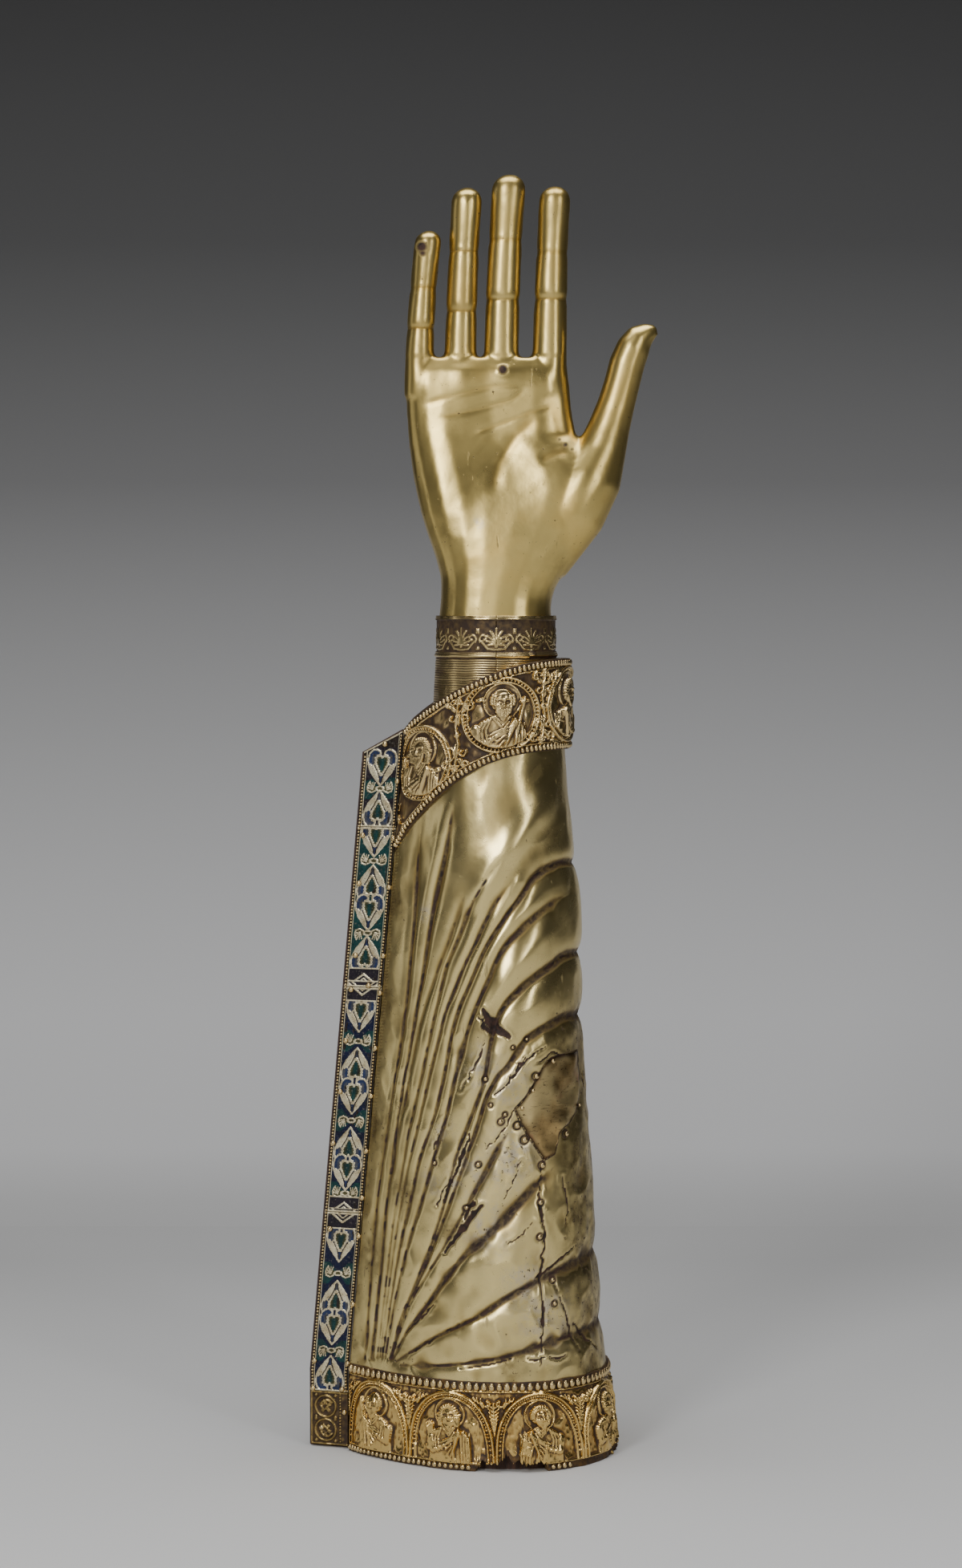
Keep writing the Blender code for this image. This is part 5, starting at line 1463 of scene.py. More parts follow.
# Plaques: node, foot, top, ground colour, and motifs with their pixel rows
PLAQUES = (
    ("enamel_plaque_1", 0.2507, None, "purple", (("up", 950), ("tie", 976), ("down", 1001))),
    ("enamel_plaque_2", 0.1864, 0.2504, "teal",
     (("up", 1039), ("tie", 1066), ("down", 1094), ("up", 1131), ("tie", 1157),
      ("down", 1183))),
    ("enamel_plaque_3", 0.0955, 0.1861, "blue",
     (("up", 1258), ("tie", 1292), ("down", 1323), ("up", 1361), ("tie", 1392),
      ("down", 1423), ("up", 1457), ("tie", 1483))),
    ("enamel_plaque_4", 0.0228, 0.0952, "blue",
     (("up", 1547), ("tie", 1584), ("down", 1616), ("up", 1652), ("tie", 1682),
      ("down", 1711))),
)
ZIGZAGS = ((1213, 1), (1229, -1), (1500, 1), (1515, -1))


def plaques():
    """The four enamelled plaques, drawn in colour and gilt metal."""
    for name, low, top, ground, motifs in PLAQUES:
        tall = (0.285 if top is None else top) - low
        rows = int(tall / 0.00027)
        share = np.linspace(STRIP_FROM, STRIP_TO, 64)
        high = strip_top(share) if top is None else np.full(64, top)
        z = low + (high - low)[None, :] * np.linspace(0, 1, rows)[:, None]
        sh = rows_of(share, rows)
        across = (sh - STRIP_MID) * STRIP_WIDE
        marks = [(kind, plane_point(MID_PX, py, STRIP_Y)[1] * 1000) for kind, py in motifs]
        tint, metal = enamel_field(across, z * 1000, marks, ground)
        for py, up in ZIGZAGS:
            zc = plane_point(MID_PX, py, STRIP_Y)[1] * 1000
            zig = z * 1000 - zc + up * (np.abs(across) * 0.75 - 1.6)
            near = np.abs(z * 1000 - zc) < 4.2
            metal[near] = 0
            tint[near] = TINTS["purple"]
            metal[near & (np.abs(zig) < 0.45)] = 1
            metal[near & (np.abs(zig + up * 1.7) < 0.30)] = 1
            metal[near & (np.abs(np.abs(z * 1000 - zc) - 4.0) < 0.25)] = 1
        field = np.abs(across) < FIELD_HALF
        lip = (np.abs(across) >= FIELD_HALF) & (np.abs(across) < LIP_HALF)
        border = np.abs(across) >= LIP_HALF
        ends = np.minimum(z - z[0:1], z[-1:] - z) < 0.0006
        worn = wavy(z.shape, (rows // 12, 14), 41) + 0.5 * wavy(z.shape, (rows // 5, 40), 42)
        loss = field & (worn > 1.55) & (metal < 0.5)
        tint[loss] = TINTS["brown"]
        tint[border] = TINTS["brown"]
        thin = (np.abs(across) >= 6.15) & (np.abs(across) < 6.45)
        metal = np.where(thin | ends, 0.9, np.where(border | lip, 0.12, metal))
        rise = np.where(field, 0.00010 + 0.00016 * metal, 0.0)
        rise = np.where(lip | ends, 0.00042, rise)
        rise = np.where(border, 0.00015, rise)
        rise = rise - np.where(loss, 0.00018, 0)
        outer = strip_point(sh, z, rise)
        inner = strip_point(sh[:2], z[[0, -1]], -0.0012)
        obj = skin(name + "_drawn", outer, inner, ENAMEL, {"tint": tint, "metal": metal})
        keep(obj, "champleve_enamel", name)


def strip_beads():
    """Fine bead rows along both sides of the strip."""
    spots = []
    for share in (STRIP_FROM + BEAD_INSET, STRIP_TO - BEAD_INSET):
        z = 0.0235
        while z < 0.2795 + (0.008 if share > 0.5 else 0):
            p = strip_point(np.array(share), np.array(z), np.array(0.00035))
            q = strip_point(np.array(share), np.array(z), np.array(0.00135))
            n = (q - p) / MM
            t = np.cross(n, UP)
            wob = 1 + 0.1 * math.sin(z * 9000)
            spots.append((p, t * 0.52 * MM * wob, UP * 0.52 * MM, n * 0.55 * MM))
            z += 0.00125
    beads("strip_beads", spots, BEAD, "gilt_silver_relief", 8, 5)


def corner_plaque():
    """Two scrolls in rings beside a milled border."""
    rows, cols = 84, 64
    low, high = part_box("corner_scroll_plaque")[0][2], 0.0225
    share = np.linspace(STRIP_FROM, STRIP_TO, cols)
    z = low + (high - low) * np.linspace(0, 1, rows)[:, None] + 0 * share[None, :]
    sh = rows_of(share, rows)
    rel = Relief((sh - STRIP_MID) * STRIP_WIDE, z * 1000)
    rel.ring(-1.6, 16.6, 4.3, 0.5, 0.9)
    rel.ring(-1.6, 7.0, 4.3, 0.5, 0.9)
    for cz, turn in ((16.6, 1), (7.0, -1)):
        rel.curl(-1.6, cz, 3.0, turn * 0.5, turn * 5.0, 0.6, 1.1)
        for k in range(5):
            rel.leaf(-1.6, cz, 3.2, 1.6, turn * (0.4 + 1.25 * k), 1.0, 1)
        for sx in (-5.6, 2.6):
            rel.dome(sx, cz + 4.4, 0.8, 0.8, 1.0)
            rel.dome(sx, cz - 4.4, 0.8, 0.8, 1.0)
    rel.h = np.maximum(rel.h, 0)
    border = np.abs(rel.x - 4.6) < 0.5
    rel.h = np.where(border, 0.7 * bump(np.abs(rel.x - 4.6), 0.5)
                     * (0.6 + 0.4 * np.cos(rel.z * 2 * math.pi / 1.2)), rel.h)
    rel.h = np.where(rel.x > 5.2, 0.25, rel.h)
    edge = np.minimum(rel.z - rel.z[0], rel.z[-1] - rel.z)
    edge = np.minimum(edge, rel.x - rel.x[:, :1])
    rel.h = np.where(edge < 0.7, 0.6, rel.h)
    h = rel.h + wavy(z.shape, (9, 7), 51) * 0.12
    # painted shade in the recesses and paler heights; the whole plaque is darkened as well
    cavity = np.clip(0.9 * (h - blur(h, 3)) / 0.3 + (h - 0.80) * 1.5, -1, 1)
    dull_and_shade = 0.85 + 0 * h
    outer = strip_point(sh, z, 0.0001 + h * 0.8 * MM)
    inner = strip_point(sh[:2], z[[0, -1]], -0.0012)
    obj = skin("corner_plaque_relief", outer, inner, GILT_RELIEF, {"cavity": cavity, "dull_and_shade": dull_and_shade})
    keep(obj, "gilt_silver_relief", "corner_scroll_plaque")


# Cuff: palmettes over fine rings

def cuff():
    """Wrist cuff: an engraved palmette band between ridges, over fine rings."""
    cols, rows = 340, 112
    low, top = float(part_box("wrist_cuff")[0][2]), float(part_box("wrist_cuff")[1][2]) + 0.002
    phi = np.linspace(0, 2 * math.pi, cols + 1) - math.pi / 2
    z = low + (top - low) * np.linspace(0, 1, rows)[:, None] ** 0.8 + 0 * phi[None, :]
    ang = rows_of(phi, rows)
    r0 = 0.0237
    line = 0.3195
    rel = Relief((ang + math.pi / 2) * r0 * 1000, (z - line) * 1000)
    total = 2 * math.pi * r0 * 1000
    count = 10
    pitch = total / count
    for k in range(count + 1):
        cx = k * pitch
        for sd in (-1, 1):
            rel.cord([(cx, 2.2), (cx + sd * 3.4, 2.6), (cx + sd * 6.0, 5.6)], 0.40, 0.5)
            rel.curl(cx + sd * 4.9, 6.6, 2.0, -math.pi / 2 + sd * 0.9, sd * 5.2, 0.40, 0.55)
            for j in range(4):
                b = math.pi / 2 + sd * (0.42 + 0.42 * j)
                tip = 5.6 - 0.8 * j
                c, n = math.cos(b), math.sin(b)
                rel.cord([(cx, 4.4), (cx + tip * 0.6 * c, 4.4 + tip * 0.75 * n),
                          (cx + tip * c, 4.4 + tip * n)], 0.42, 0.55)
        rel.cord([(cx, 3.4), (cx, 10.6)], 0.50, 0.55, thin=0.6)
        rel.dome(cx + pitch / 2, 2.8, 0.9, 0.7, 0.5)
        rel.leaf(cx + pitch / 2, 11.2, 3.4, 1.3, -math.pi / 2, 0.5, 1)
    rel.h = np.clip(rel.h, 0, None) * 0.7
    zz = rel.z
    tall = (top - line) * 1000
    in_band = (zz > 1.1) & (zz < tall - 1.3)
    h = np.where(in_band, rel.h, 0.0)
    h = np.where(np.abs(zz - tall + 1.4) < 0.35, 0.45, h)
    h = np.where(zz > tall - 1.0, 0.30, h)
    h = np.where(np.abs(zz - 1.0) < 0.30, 0.55, h)
    h = np.where((zz < 0.7) & (zz > -1.2), 0.70 * np.cos((zz + 0.25) * 1.6), h)
    rings_zone = zz <= -1.2
    taper = 0.30 + 0.055 * (-zz)
    ridge = 0.15 * np.cos(zz * 2 * math.pi / 0.95)
    h = np.where(rings_zone, taper + ridge, h)
    h = np.where(~rings_zone & (zz < 0.7), h + 0.25, h)
    h = h + wavy(z.shape, (10, 50), 61) * 0.05
    # painted shade in the rings' grooves and the band's recesses, and a painted highlight on its
    # raised lines
    cavity = np.clip((h - blur(h, 2)) / 0.16, -1, 1)
    cavity = np.where(in_band, np.clip(rel.h * 3.6 - 0.66, -0.66, 0.5), cavity)
    lip = (ang > -0.98) & (ang < -0.05) & (zz < -0.2) & (zz > -1.2)
    h = h - 0.5 * lip + 0.25 * ((ang > -0.98) & (ang < -0.05) & (np.abs(zz - 0.3) < 0.5))
    knob = bump(np.hypot((ang + 0.93) * r0 * 1000, zz - 0.9), 1.4)
    h = h + 0.8 * knob ** 0.5
    dark = np.where(lip, 0.8, 0.0)
    tarnish = smooth(wavy(z.shape, (12, 16), 63) + 0.15) * (zz < 0)
    cavity = np.clip(cavity - 0.7 * tarnish - 0.8 * knob, -1, 1)
    r = r0 + h * MM
    foot = rim_z(WRIST_X + 0.025 * np.cos(phi)) - 0.0025 - 0.001
    zf = np.maximum(z, foot[None, :])
    outer = np.stack([WRIST_X + r * np.cos(ang), r * np.sin(ang), zf], axis=-1)
    ri = r0 - 0.002
    ends = zf[[0, -1]]
    inner = np.stack([WRIST_X + ri * np.cos(ang[:2]), ri * np.sin(ang[:2]), ends], axis=-1)
    obj = skin("cuff_engraved", outer, inner, GILT_CUFF, {"cavity": cavity, "dark": dark})
    keep(obj, "gilt_silver_cuff", "wrist_cuff")


# Hand

# Palm and wrist: height, left, right, and depth to the front and to the back
PALM = (
    (0.325, -0.0175, 0.0285, 0.0195, 0.0190),
    (0.334, -0.0168, 0.0282, 0.0190, 0.0188),
    (0.338, -0.0163, 0.0279, 0.0188, 0.0184),
    (0.342, -0.0160, 0.0284, 0.0185, 0.0180),
    (0.346, -0.0159, 0.0297, 0.0184, 0.0174),
    (0.350, -0.0160, 0.0320, 0.0182, 0.0168),
    (0.358, -0.0180, 0.0377, 0.0180, 0.0156),
    (0.366, -0.0208, 0.0435, 0.0174, 0.0146),
    (0.375, -0.0236, 0.0500, 0.0162, 0.0138),
    (0.383, -0.0255, 0.0538, 0.0150, 0.0130),
    (0.391, -0.0271, 0.0530, 0.0138, 0.0124),
    (0.399, -0.0282, 0.0470, 0.0124, 0.0118),
    (0.407, -0.0291, 0.0378, 0.0112, 0.0112),
    (0.416, -0.0296, 0.0362, 0.0102, 0.0106),
    (0.425, -0.0300, 0.0354, 0.0094, 0.0098),
    (0.432, -0.0294, 0.0346, 0.0084, 0.0088),
    (0.4375, -0.0285, 0.0338, 0.0060, 0.0064),
)
# Thumb: x, height and radius along its middle line
THUMB = (
    (0.0240, 0.3560, 0.0110), (0.0360, 0.3760, 0.0138), (0.0440, 0.3900, 0.0124),
    (0.0482, 0.4010, 0.0098), (0.0510, 0.4100, 0.0084), (0.0538, 0.4190, 0.0075),
    (0.0560, 0.4270, 0.0072), (0.0580, 0.4350, 0.0072), (0.0606, 0.4415, 0.0068),
    (0.0632, 0.4453, 0.0058), (0.0668, 0.4474, 0.0040), (0.0700, 0.4484, 0.0018),
)
TOP = 0.510
# Fingers: middle joint, tip, width at the foot and at the tip, pixel rows of the creases
FINGERS = {
    "little": ((-0.0236, 0.4555), (-0.0205, TOP - 0.0222), 0.0118, 0.0104, (357, 406)),
    "ring": ((-0.0076, 0.4600), (-0.0053, TOP - 0.0052), 0.0130, 0.0119, (312, 385)),
    "middle": ((0.0088, 0.4640), (0.0114, TOP), 0.0141, 0.0133, (298, 372)),
    "index": ((0.0278, 0.4640), (0.0295, TOP - 0.0047), 0.0142, 0.0121, (313, 370)),
}
FINGER_DEPTH = 0.0118
# Lines of the palm: photograph points, half width and depth in mm
PALM_LINES = (
    (((544, 518), (587, 509), (638, 496), (658, 480)), 0.9, 0.30),
    (((590, 537), (618, 527), (658, 512), (692, 500)), 0.7, 0.35),
    (((526, 502), (560, 492), (613, 479), (656, 476)), 1.0, 0.25),
    (((676, 509), (643, 540), (623, 573), (613, 614)), 2.6, 0.40),
    (((672, 571), (690, 562), (708, 558)), 2.0, 0.40),
    (((684, 484), (689, 505), (695, 528), (704, 548)), 3.2, 0.30),
)
# Dark stains of the hand, the three at the thumb's web partly painted shade of its recess:
# photograph point, radius in mm and strength
HAND_STAINS = ((527, 306, 3.2, 0.9), (528, 314, 2.2, 0.8), (704, 551, 1.7, 0.8),
               (697, 544, 1.1, 0.7), (712, 557, 1.2, 0.7), (638, 490, 0.8, 0.7),
               (687, 615, 0.8, 0.6), (635, 240, 0.7, 0.6), (646, 236, 0.6, 0.6),
               (684, 252, 0.8, 0.5), (690, 262, 0.6, 0.5), (742, 490, 0.8, 0.4))
# Dull places of the hand: photograph point and radius in pixels
HAND_DULL = ((530, 440, 14), (765, 540, 20), (560, 660, 22), (700, 560, 16),
             (700, 700, 24), (690, 262, 16), (535, 305, 12), (560, 735, 20))
PALM_RIVET, RUBBED_SPOT = (627, 458), (597, 648)


def ring_loft(sections, count=24):
    """A closed skin through rings of equal count."""
    verts = [tuple(p) for ring in sections for p in ring]
    faces = []
    for i in range(len(sections) - 1):
        for j in range(count):
            k = (j + 1) % count
            a, b = i * count + j, i * count + k
            faces.append((a, b, b + count, a + count))
    faces.append(tuple(range(count))[::-1])
    last = (len(sections) - 1) * count
    faces.append(tuple(last + j for j in range(count)))
    return verts, faces


def palm_rings(count=24):
    """Rings of the wrist and palm, with the palm's hollow."""
    rings = []
    t = np.linspace(0, 2 * math.pi, count, endpoint=False)
    for z, left, right, front, back in PALM:
        mid, half = 0.5 * (left + right), 0.5 * (right - left)
        x = mid + half * np.sign(np.cos(t)) * np.abs(np.cos(t)) ** 0.86
        wall = np.where(np.sin(t) < 0, front, back)
        y = wall * np.sign(np.sin(t)) * np.abs(np.sin(t)) ** 0.8
        hollow = np.exp(-((x - 0.006) / 0.015) ** 2 - ((z - 0.405) / 0.024) ** 2)
        y = np.where(np.sin(t) < 0, y + 0.0032 * hollow * np.abs(np.sin(t)), y)
        rings.append(np.stack([x, y, np.full(count, z)], axis=1))
    return rings


def finger_rings(middle, tip, wide_base, wide_tip, count=24):
    """Rings of one finger along a curve through its root, middle and tip."""
    base_z = 0.422
    root_x = middle[0] - 0.35 * (tip[0] - middle[0])
    radius = 0.5 * wide_tip
    levels = list(np.linspace(base_z, tip[1] - radius, 14))
    levels += [tip[1] - radius * (1 - math.sin(k * math.pi / 16)) for k in range(1, 9)]
    rings = []
    a = np.linspace(0, 2 * math.pi, count, endpoint=False)
    for z in levels:
        t = (z - base_z) / (tip[1] - base_z)
        m = (middle[1] - base_z) / (tip[1] - base_z)
        x = (root_x * (t - m) * (t - 1) / m + middle[0] * t * (t - 1) / (m * (m - 1))
             + tip[0] * t * (t - m) / (1 - m))
        over = max(0.0, (z - tip[1] + radius) / radius)
        dome = math.sqrt(max(0.0004, 1 - min(over, 1.0) ** 2))
        wide = (wide_base + (wide_tip - wide_base) * t) * 0.5 * dome
        deep = 0.5 * FINGER_DEPTH * (1.06 - 0.10 * t) * dome
        rings.append(np.stack([x + wide * np.cos(a), deep * np.sin(a), np.full(count, z)], 1))
    return rings


def thumb_rings(count=24):
    path = np.array(THUMB)
    rings = []
    a = np.linspace(0, 2 * math.pi, count, endpoint=False)
    for k, (x, z, r) in enumerate(path):
        ahead, behind = path[min(k + 1, len(path) - 1)], path[max(k - 1, 0)]
        dx, dz = ahead[0] - behind[0], ahead[1] - behind[1]
        size = math.hypot(dx, dz)
        ux, uz = dz / size, -dx / size
        y = -0.0025 + 0.92 * r * np.sin(a)
        rings.append(np.stack([x + ux * r * np.cos(a), y, z + uz * r * np.cos(a)], 1))
    return rings


def melted_hand():
    """Lofts of palm, thumb and fingers, melted into one mesh with soft joints."""
    parts = [ring_loft(palm_rings()), ring_loft(thumb_rings())]
    for mid, tip, wide_base, wide_tip, _ in FINGERS.values():
        parts.append(ring_loft(finger_rings(mid, tip, wide_base, wide_tip)))
    verts, faces = [], []
    for v, f in parts:
        start = len(verts)
        verts += v
        faces += [tuple(i + start for i in face) for face in f]
    rough = new_object("hand_rough", verts, faces, GILT_HAND)
    melt = rough.modifiers.new("Remesh", "REMESH")
    melt.mode = "VOXEL"
    melt.voxel_size = 0.00095
    soft = rough.modifiers.new("Smooth", "SMOOTH")
    soft.factor = 0.5
    soft.iterations = 9
    dg = bpy.context.evaluated_depsgraph_get()
    mesh = bpy.data.meshes.new_from_object(rough.evaluated_get(dg))
    bpy.data.objects.remove(rough, do_unlink=True)
    return mesh


def shape_fingers(x, z, no, facing, push, crease):
    """Facets, creases, pads and nails of the four fingers, added to push and to crease, which
    darkens the creases as painted shade.
    """
    for mid, tip, wide_base, wide_tip, folds_at in FINGERS.values():
        on = (np.abs(x - np.interp(z, [0.43, mid[1], tip[1]], [mid[0], mid[0], tip[0]]))
              < 0.0085) & (z > 0.438)
        for py in folds_at:
            level = plane_point(MID_PX, py, KNUCKLE_Y)[1]
            push -= np.where(on, 0.00028 * np.exp(-((z - level) / 0.0022) ** 2), 0)
            sharp = np.exp(-((z - level) / 0.00055) ** 2) * (0.25 + 0.75 * facing)
            push -= np.where(on, 0.00030 * sharp, 0)
            crease[:] = np.maximum(crease, np.where(on, sharp * 0.75, 0))
        marks = [plane_point(MID_PX, py, KNUCKLE_Y)[1] for py in folds_at] + [0.436]
        ends = [tip[1]] + marks
        for number in range(3):
            high, foot = ends[number], ends[number + 1]
            share = np.clip((z - foot) / (high - foot), 0, 1)
            tilt = (share - 0.5) * (0.9 if number == 0 else -0.6)
            tilt = tilt * smooth((0.5 - np.abs(share - 0.5)) * 7)
            push += np.where(on & (z > foot) & (z <= high), MM * tilt * facing, 0)
        tip_pad = np.exp(-((z - tip[1] + 0.010) / 0.007) ** 2)
        push += np.where(on, 0.0002 * tip_pad * facing, 0)
        nail = smooth((no[:, 1] - 0.15) / 0.3) * (z > tip[1] - 0.0125) * (z < tip[1] - 0.0015)
        lane = np.interp(z, [mid[1], tip[1]], [mid[0], tip[0]])
        flat = bump(np.abs(x - lane), 0.0045) ** 0.3
        push += np.where(on, 0.00035 * nail * (flat > 0.35), 0)


def draw_palm_lines(x, z, facing, push, crease):
    """The lines of the palm, pressed in and darkened as painted shade."""
    for pts, wide, deep in PALM_LINES:
        line = np.array([plane_point(px, py) for px, py in pts])
        t = np.arange(len(line))
        fine = np.linspace(0, len(line) - 1, len(line) * 5)
        line = np.stack([np.interp(fine, t, line[:, 0]), np.interp(fine, t, line[:, 1])], 1)
        best, where, _ = path_distance(x, z, line)
        fade = smooth(np.minimum(where, 1 - where) * 5 + 0.1)
        g = np.exp(-(best / (wide * MM)) ** 2) * facing * fade
        push -= MM * deep * g
        crease[:] = np.maximum(crease, g * min(1.0, deep * 1.2))


def hand():
    """The hand with its creases, stains, rubbed spot and the rivet in its palm; creases, webs and
    sideways faces are darkened as painted shade.
    """
    mesh = melted_hand()
    count = len(mesh.vertices)
    co = np.empty(count * 3)
    no = np.empty(count * 3)
    mesh.vertices.foreach_get("co", co)
    mesh.vertices.foreach_get("normal", no)
    co, no = co.reshape(-1, 3), no.reshape(-1, 3)
    x, z = co[:, 0], co[:, 2]
    facing = smooth((-no[:, 1] + 0.1) / 0.5)
    push = np.zeros(count)
    crease = np.zeros(count)
    push += 0.0016 * facing * np.exp(-((x - 0.036) / 0.013) ** 2 - ((z - 0.386) / 0.016) ** 2)
    push += 0.0012 * facing * np.exp(-((x + 0.015) / 0.009) ** 2 - ((z - 0.385) / 0.020) ** 2)
    for fx in (-0.0225, -0.0072, 0.0092, 0.0262):
        push += 0.0007 * facing * np.exp(-((x - fx) / 0.0055) ** 2
                                         - ((z - 0.4285) / 0.006) ** 2)
    shape_fingers(x, z, no, facing, push, crease)
    draw_palm_lines(x, z, facing, push, crease)
    dark = np.zeros(count)
    for px, py, r, d in HAND_STAINS:
        cx, cz = plane_point(px, py)
        gap = np.hypot(x - cx, z - cz)
        dark = np.maximum(dark, d * bump(gap, r * MM) * (facing > 0.3))
    # painted shade, partly tarnish: the webs between the fingers are darkened
    webs = np.exp(-((z - 0.4392) / 0.0022) ** 2) * (np.abs(x - 0.002) < 0.030)
    crease = np.maximum(crease, webs * smooth(0.75 - np.abs(no[:, 1])) * 0.9)
    for _, tip, _, _, _ in FINGERS.values():
        top = np.exp(-((z - tip[1]) / 0.0035) ** 2) * (np.abs(x - tip[0]) < 0.008)
        crease = np.maximum(crease, 0.55 * top * smooth(0.5 + np.sin(x * 3100) * 0.5))
    cx, cz = plane_point(*PALM_RIVET)
    gap = np.hypot(x - cx, z - cz)
    push += np.where(facing > 0.3, 0.00055 * bump(gap, 0.0021) ** 0.5, 0)
    dark = np.maximum(dark, bump(gap, 0.0026) ** 0.5 * 0.85 * (facing > 0.3))
    cx, cz = plane_point(*RUBBED_SPOT)
    worn = np.exp(-(np.hypot(x - cx, z - cz) / 0.0022) ** 2) * facing * 0.9
    # darker on faces that turn sideways, a painted shade, and darker towards the finger tops
    dull_and_shade = 0.5 * smooth((z - 0.496) / 0.01) + 0.45 * smooth((np.abs(no[:, 0]) - 0.45) / 0.4)
    for px, py, r in HAND_DULL:
        sx, sz = plane_point(px, py)
        dull_and_shade = np.maximum(dull_and_shade, np.exp(-(np.hypot(x - sx, z - sz) / (r * PIXEL)) ** 2) * 0.7)
    dull_and_shade = np.clip(dull_and_shade, 0, 0.75)
    co = co + no * push[:, None]
    co[:, 2] = np.clip(co[:, 2], WRIST_Z, HEIGHT)
    co[:, 0] = np.minimum(co[:, 0], float(cad_high[0]))
    mesh.vertices.foreach_set("co", co.ravel())
    obj = bpy.data.objects.new("hand_gilt", mesh)
    bpy.context.scene.collection.objects.link(obj)
    if not mesh.materials:
        mesh.materials.append(GILT_HAND)
    for key, values in (("cavity", -crease * 0.8 + 0.1), ("dark", dark), ("worn", worn),
                        ("dull_and_shade", dull_and_shade * 0.6)):
        layer = mesh.attributes.new(key, "FLOAT", "POINT")
        layer.data.foreach_set("value", values.astype(np.float32))
    mesh.update()
    mesh.shade_smooth()
    keep(obj, "gilt_silver_hand", "hand")


# Nails, patch and the other small pieces

STRIP_NAILS = ((496.5, 967), (493, 1038), (491, 1099), (485.6, 1184.5), (480, 1231),
               (475, 1300), (470, 1360), (464, 1429), (457, 1488), (454, 1536),
               (449, 1622), (436, 1697), (481, 921), (453, 1035), (448, 1095),
               (443.5, 1185), (438, 1228), (460, 1222), (431, 1292), (424, 1356),
               (415, 1421), (411, 1529), (391, 1696), (389, 1731), (426, 1730),
               (400, 1780), (429, 1759))


def nail_spots():
    spots = []
    for px, py, r in RIVETS:
        length, z = sleeve_spot(px, py)
        h = float(folds(np.array([length]), np.array([z]))[0])
        if inside(np.array([length]), np.array([z]), PATCH_LINE)[0]:
            h = 0.0006
        p, n = surface(length, z, -1.0, h)
        t = np.cross(n, UP)
        r *= 0.62 * MM
        spots.append((p, t * r, np.cross(t, n) * r, n * 0.7 * MM))
    for px, py in STRIP_NAILS:
        x, z = plane_point(px, py, STRIP_Y)
        share = float((x - edge_x(z)) / (joint_x(z) - edge_x(z)))
        share = min(max(share, 0.07), 0.95)
        p = strip_point(np.array(share), np.array(z), np.array(0.0003))
        q = strip_point(np.array(share), np.array(z), np.array(0.0013))
        n = (q - p) / MM
        t = np.cross(n, UP)
        spots.append((p, t * 1.15 * MM, UP * 1.15 * MM, n * 0.85 * MM))
    return spots


def patch_plate():
    """The repair plate, uneven and dark at its rim."""
    centre = PATCH_LINE.mean(axis=0)
    edge = np.concatenate([PATCH_LINE, PATCH_LINE[:1]])
    step = np.concatenate([[0], np.cumsum(np.linalg.norm(np.diff(edge, axis=0), axis=1))])
    count, rings = 96, 14
    at = np.linspace(0, step[-1], count, endpoint=False)
    rim = np.stack([np.interp(at, step, edge[:, 0]), np.interp(at, step, edge[:, 1])], 1)
    grid = centre + (rim - centre)[None] * np.linspace(0.02, 1, rings)[:, None, None]
    length, z = grid[..., 0], grid[..., 1]
    alpha = np.array([[float(angle_at(l, h)) for l, h in zip(lr, zr)]
                      for lr, zr in zip(length, z)])
    lift = 0.0006 + 0.00030 * noise_at(length * 190, z * 170, 61)
    lift = np.clip(lift, 0.0002, 0.0013)
    lift[-1] = 0.00045
    pts = place(alpha, -np.ones(alpha.shape), z, lift)
    back = place(alpha[-1], -np.ones(count), z[-1], -0.0003)
    hub = pts[0].mean(axis=0)
    verts = np.concatenate([pts.reshape(-1, 3), back, [hub], [back.mean(axis=0)]])
    faces = []
    nb, hub_i = rings * count, rings * count + count
    for k in range(count):
        n = (k + 1) % count
        faces.append((hub_i, n, k))
        for i in range(rings - 1):
            a, b = i * count + k, i * count + n
            faces.append((a, b, b + count, a + count))
        a, b = (rings - 1) * count + k, (rings - 1) * count + n
        faces.append((a, b, nb + n, nb + k))
        faces.append((nb + k, nb + n, hub_i + 1))
    darkening = np.zeros(len(verts))
    darkening[(rings - 1) * count:] = 0.9
    darkening[(rings - 2) * count:(rings - 1) * count] = 0.35
    obj = new_object("patch_plate", verts, faces, COPPER, {"dark": darkening}, 40)
    bm = bmesh.new()
    bm.from_mesh(obj.data)
    bmesh.ops.recalc_face_normals(bm, faces=bm.faces)
    bm.to_mesh(obj.data)
    bm.free()
    keep(obj, "copper_patch", "repair_patch")


def recoat(node, mat):
    """Gives a solid of the frame a better material."""
    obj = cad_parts[node]
    for k in range(len(obj.material_slots)):
        obj.material_slots[k].material = mat


sleeve("sleeve_front", True, 226, 401)
sleeve("sleeve_back", False, 70, 401)
foot_band()
mouth_band()
plaques()
strip_beads()
corner_plaque()
cuff()
hand()
patch_plate()
beads("nails", nail_spots(), BEAD, "gilt_silver", 12, 7)
recoat("oak_core", OAK)
recoat("mouth_sheet", GILT_CUFF)
recoat("back_border_strip", GILT_RELIEF)


# Studio: floor with a curved backdrop, soft lights and the photograph's camera

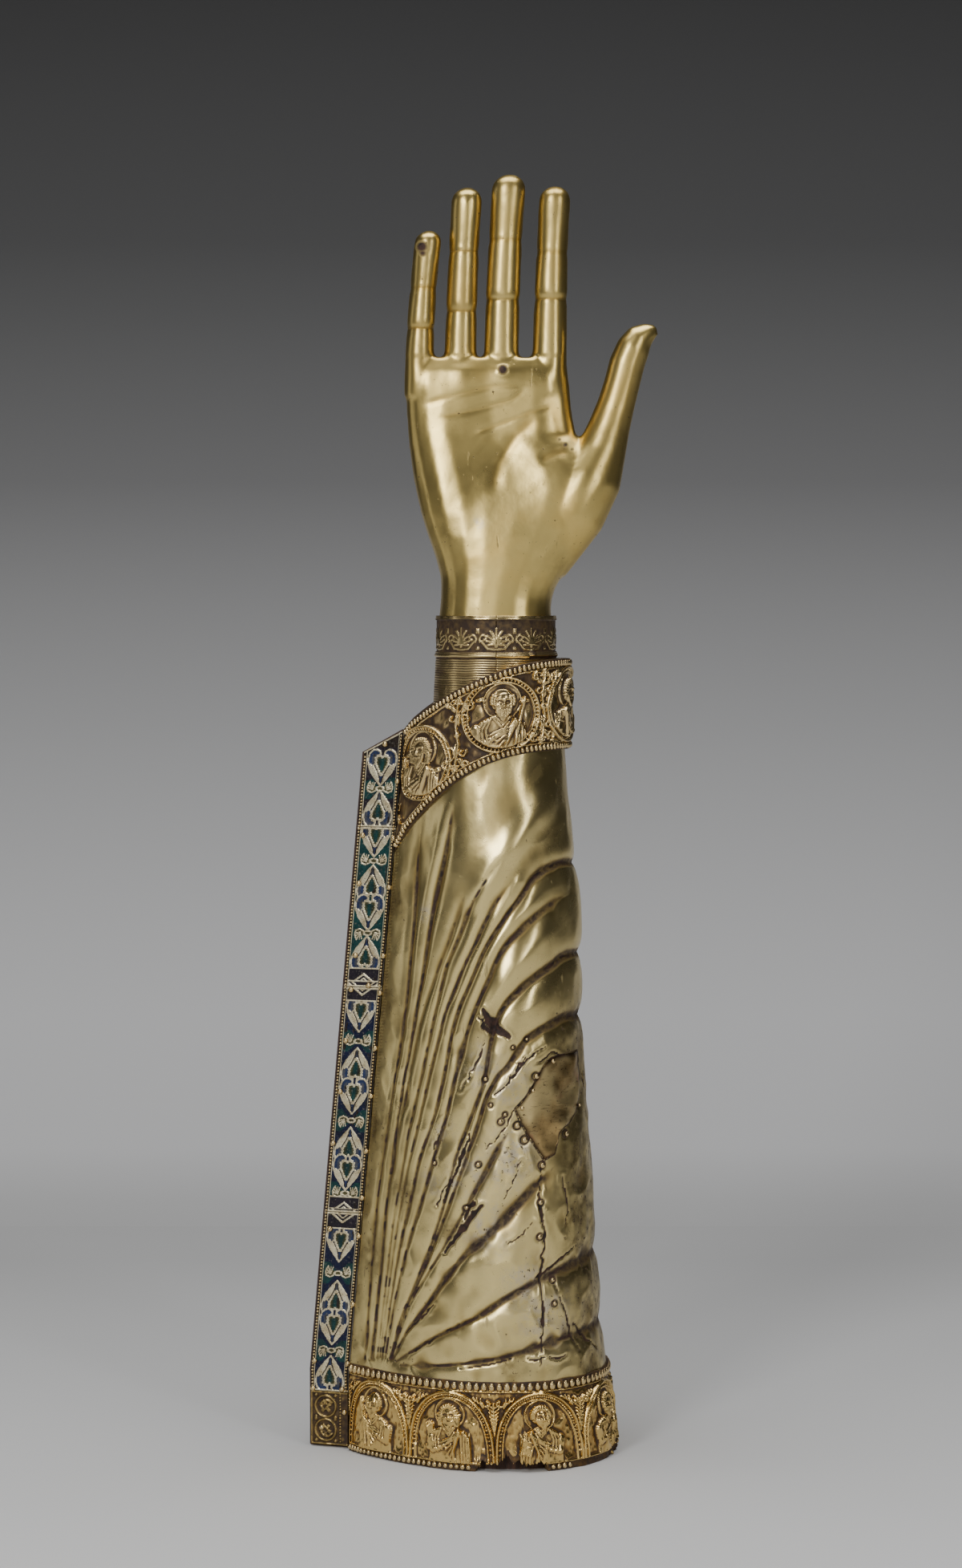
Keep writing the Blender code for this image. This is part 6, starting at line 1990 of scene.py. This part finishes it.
def studio():
    """A wide floor, and a backdrop that curves up from it, its grey falling dark towards the top
    and the floor's grey darker towards the back, both painted shade.
    The backdrop is only as wide and high as the camera needs, so that views from behind look past
    it."""
    s = Shader("studio_paper")
    sep = s.tree.nodes.new("ShaderNodeSeparateXYZ")
    s.link(s.coords, sep.inputs[0])
    ramp = s.tree.nodes.new("ShaderNodeValToRGB")
    s.link(s.span(sep.outputs["Z"], 0.0, 0.8), ramp.inputs["Fac"])
    stops = ((0.0, BACKDROP[0]), (0.10, BACKDROP[1]), (0.31, BACKDROP[2]), (0.53, BACKDROP[3]),
             (0.74, BACKDROP[4]), (0.95, BACKDROP[5]))
    while len(ramp.color_ramp.elements) < len(stops):
        ramp.color_ramp.elements.new(0.5)
    for element, (at, grey) in zip(ramp.color_ramp.elements, stops):
        element.position = at
        element.color = (grey, grey, grey * 1.01, 1)
    # painted shade: the floor greys from light at the front to darker at the back
    near = s.span(sep.outputs["Y"], -0.25, 0.40, FLOOR[0], FLOOR[1])
    shade = s.mix(s.span(sep.outputs["Z"], 0.0, 0.02), near, ramp.outputs["Color"])
    s.link(shade, s.out.inputs["Base Color"])
    s.out.inputs["Roughness"].default_value = 0.9
    s.link(s.bump(s.noise(900, 2, 0.5), 0.05, 0.0005), s.out.inputs["Normal"])
    path = [(0.5, 0.0)]
    for k in range(1, 17):
        a = k / 16 * math.pi / 2
        path.append((0.5 + 0.6 * math.sin(a), 0.6 - 0.6 * math.cos(a)))
    path.append((1.1, WALL_TOP))
    verts = [(x, y, z) for y, z in path for x in (-WALL_HALF, WALL_HALF)]
    verts += [(x, y, 0.0) for y in (-1.6, 3.0) for x in (-3.0, 3.0)]
    strips = [2 * k for k in range(len(path) - 1)] + [2 * len(path)]
    faces = [(k, k + 1, k + 3, k + 2) for k in strips]
    floor = new_object("studio_floor", verts, faces, s.mat)


# Backdrop greys from its foot to its top, falling dark towards the top as painted shade, and the
# floor's greys at its front and back
BACKDROP = (0.54, 0.51, 0.315, 0.137, 0.062, 0.030)
FLOOR = (0.72, 0.44)
WALL_HALF, WALL_TOP = 0.85, 1.2


def area(name, spot, aim, size, power, colour=(1, 1, 1)):
    """A rectangular lamp that looks at a point."""
    data = bpy.data.lights.new(name, "AREA")
    data.shape = "RECTANGLE"
    data.size, data.size_y = size
    data.energy = power
    data.color = colour
    obj = bpy.data.objects.new(name, data)
    bpy.context.scene.collection.objects.link(obj)
    obj.location = spot
    obj.rotation_euler = (Vector(aim) - Vector(spot)).to_track_quat("-Z", "Y").to_euler()


studio()
area("front", (-0.25, -2.6, 0.42), (0, 0, 0.30), (0.8, 0.8), 1.8)
area("front_wide", (0.0, -2.75, 0.40), (0, 0, 0.30), (2.3, 1.2), 3.2)
area("key", (-0.95, -2.0, 1.20), (0, 0, 0.27), (0.5, 0.9), 20)
area("fill", (1.25, -1.8, 0.9), (0, 0, 0.25), (0.25, 1.1), 7)
area("rim_left", (-1.5, -0.1, 0.4), (0, 0, 0.25), (0.3, 1.5), 1.2)
area("top", (0.0, -0.15, 2.0), (0, 0, 0.1), (1.8, 1.2), 31)

world = bpy.data.worlds.new("studio")
bpy.context.scene.world = world
world.use_nodes = True
world.node_tree.nodes["Background"].inputs["Color"].default_value = (0.5, 0.5, 0.51, 1)
world.node_tree.nodes["Background"].inputs["Strength"].default_value = 0.07

lens = bpy.data.cameras.new("camera")
lens.sensor_width = 36
lens.lens = 4428 / 1955 * 36
camera = bpy.data.objects.new("camera", lens)
bpy.context.scene.collection.objects.link(camera)
camera.location = (0.0, CAM_Y, CAM_Z)
camera.rotation_euler = (math.radians(90 - 2.997), 0, 0)
bpy.context.scene.camera = camera
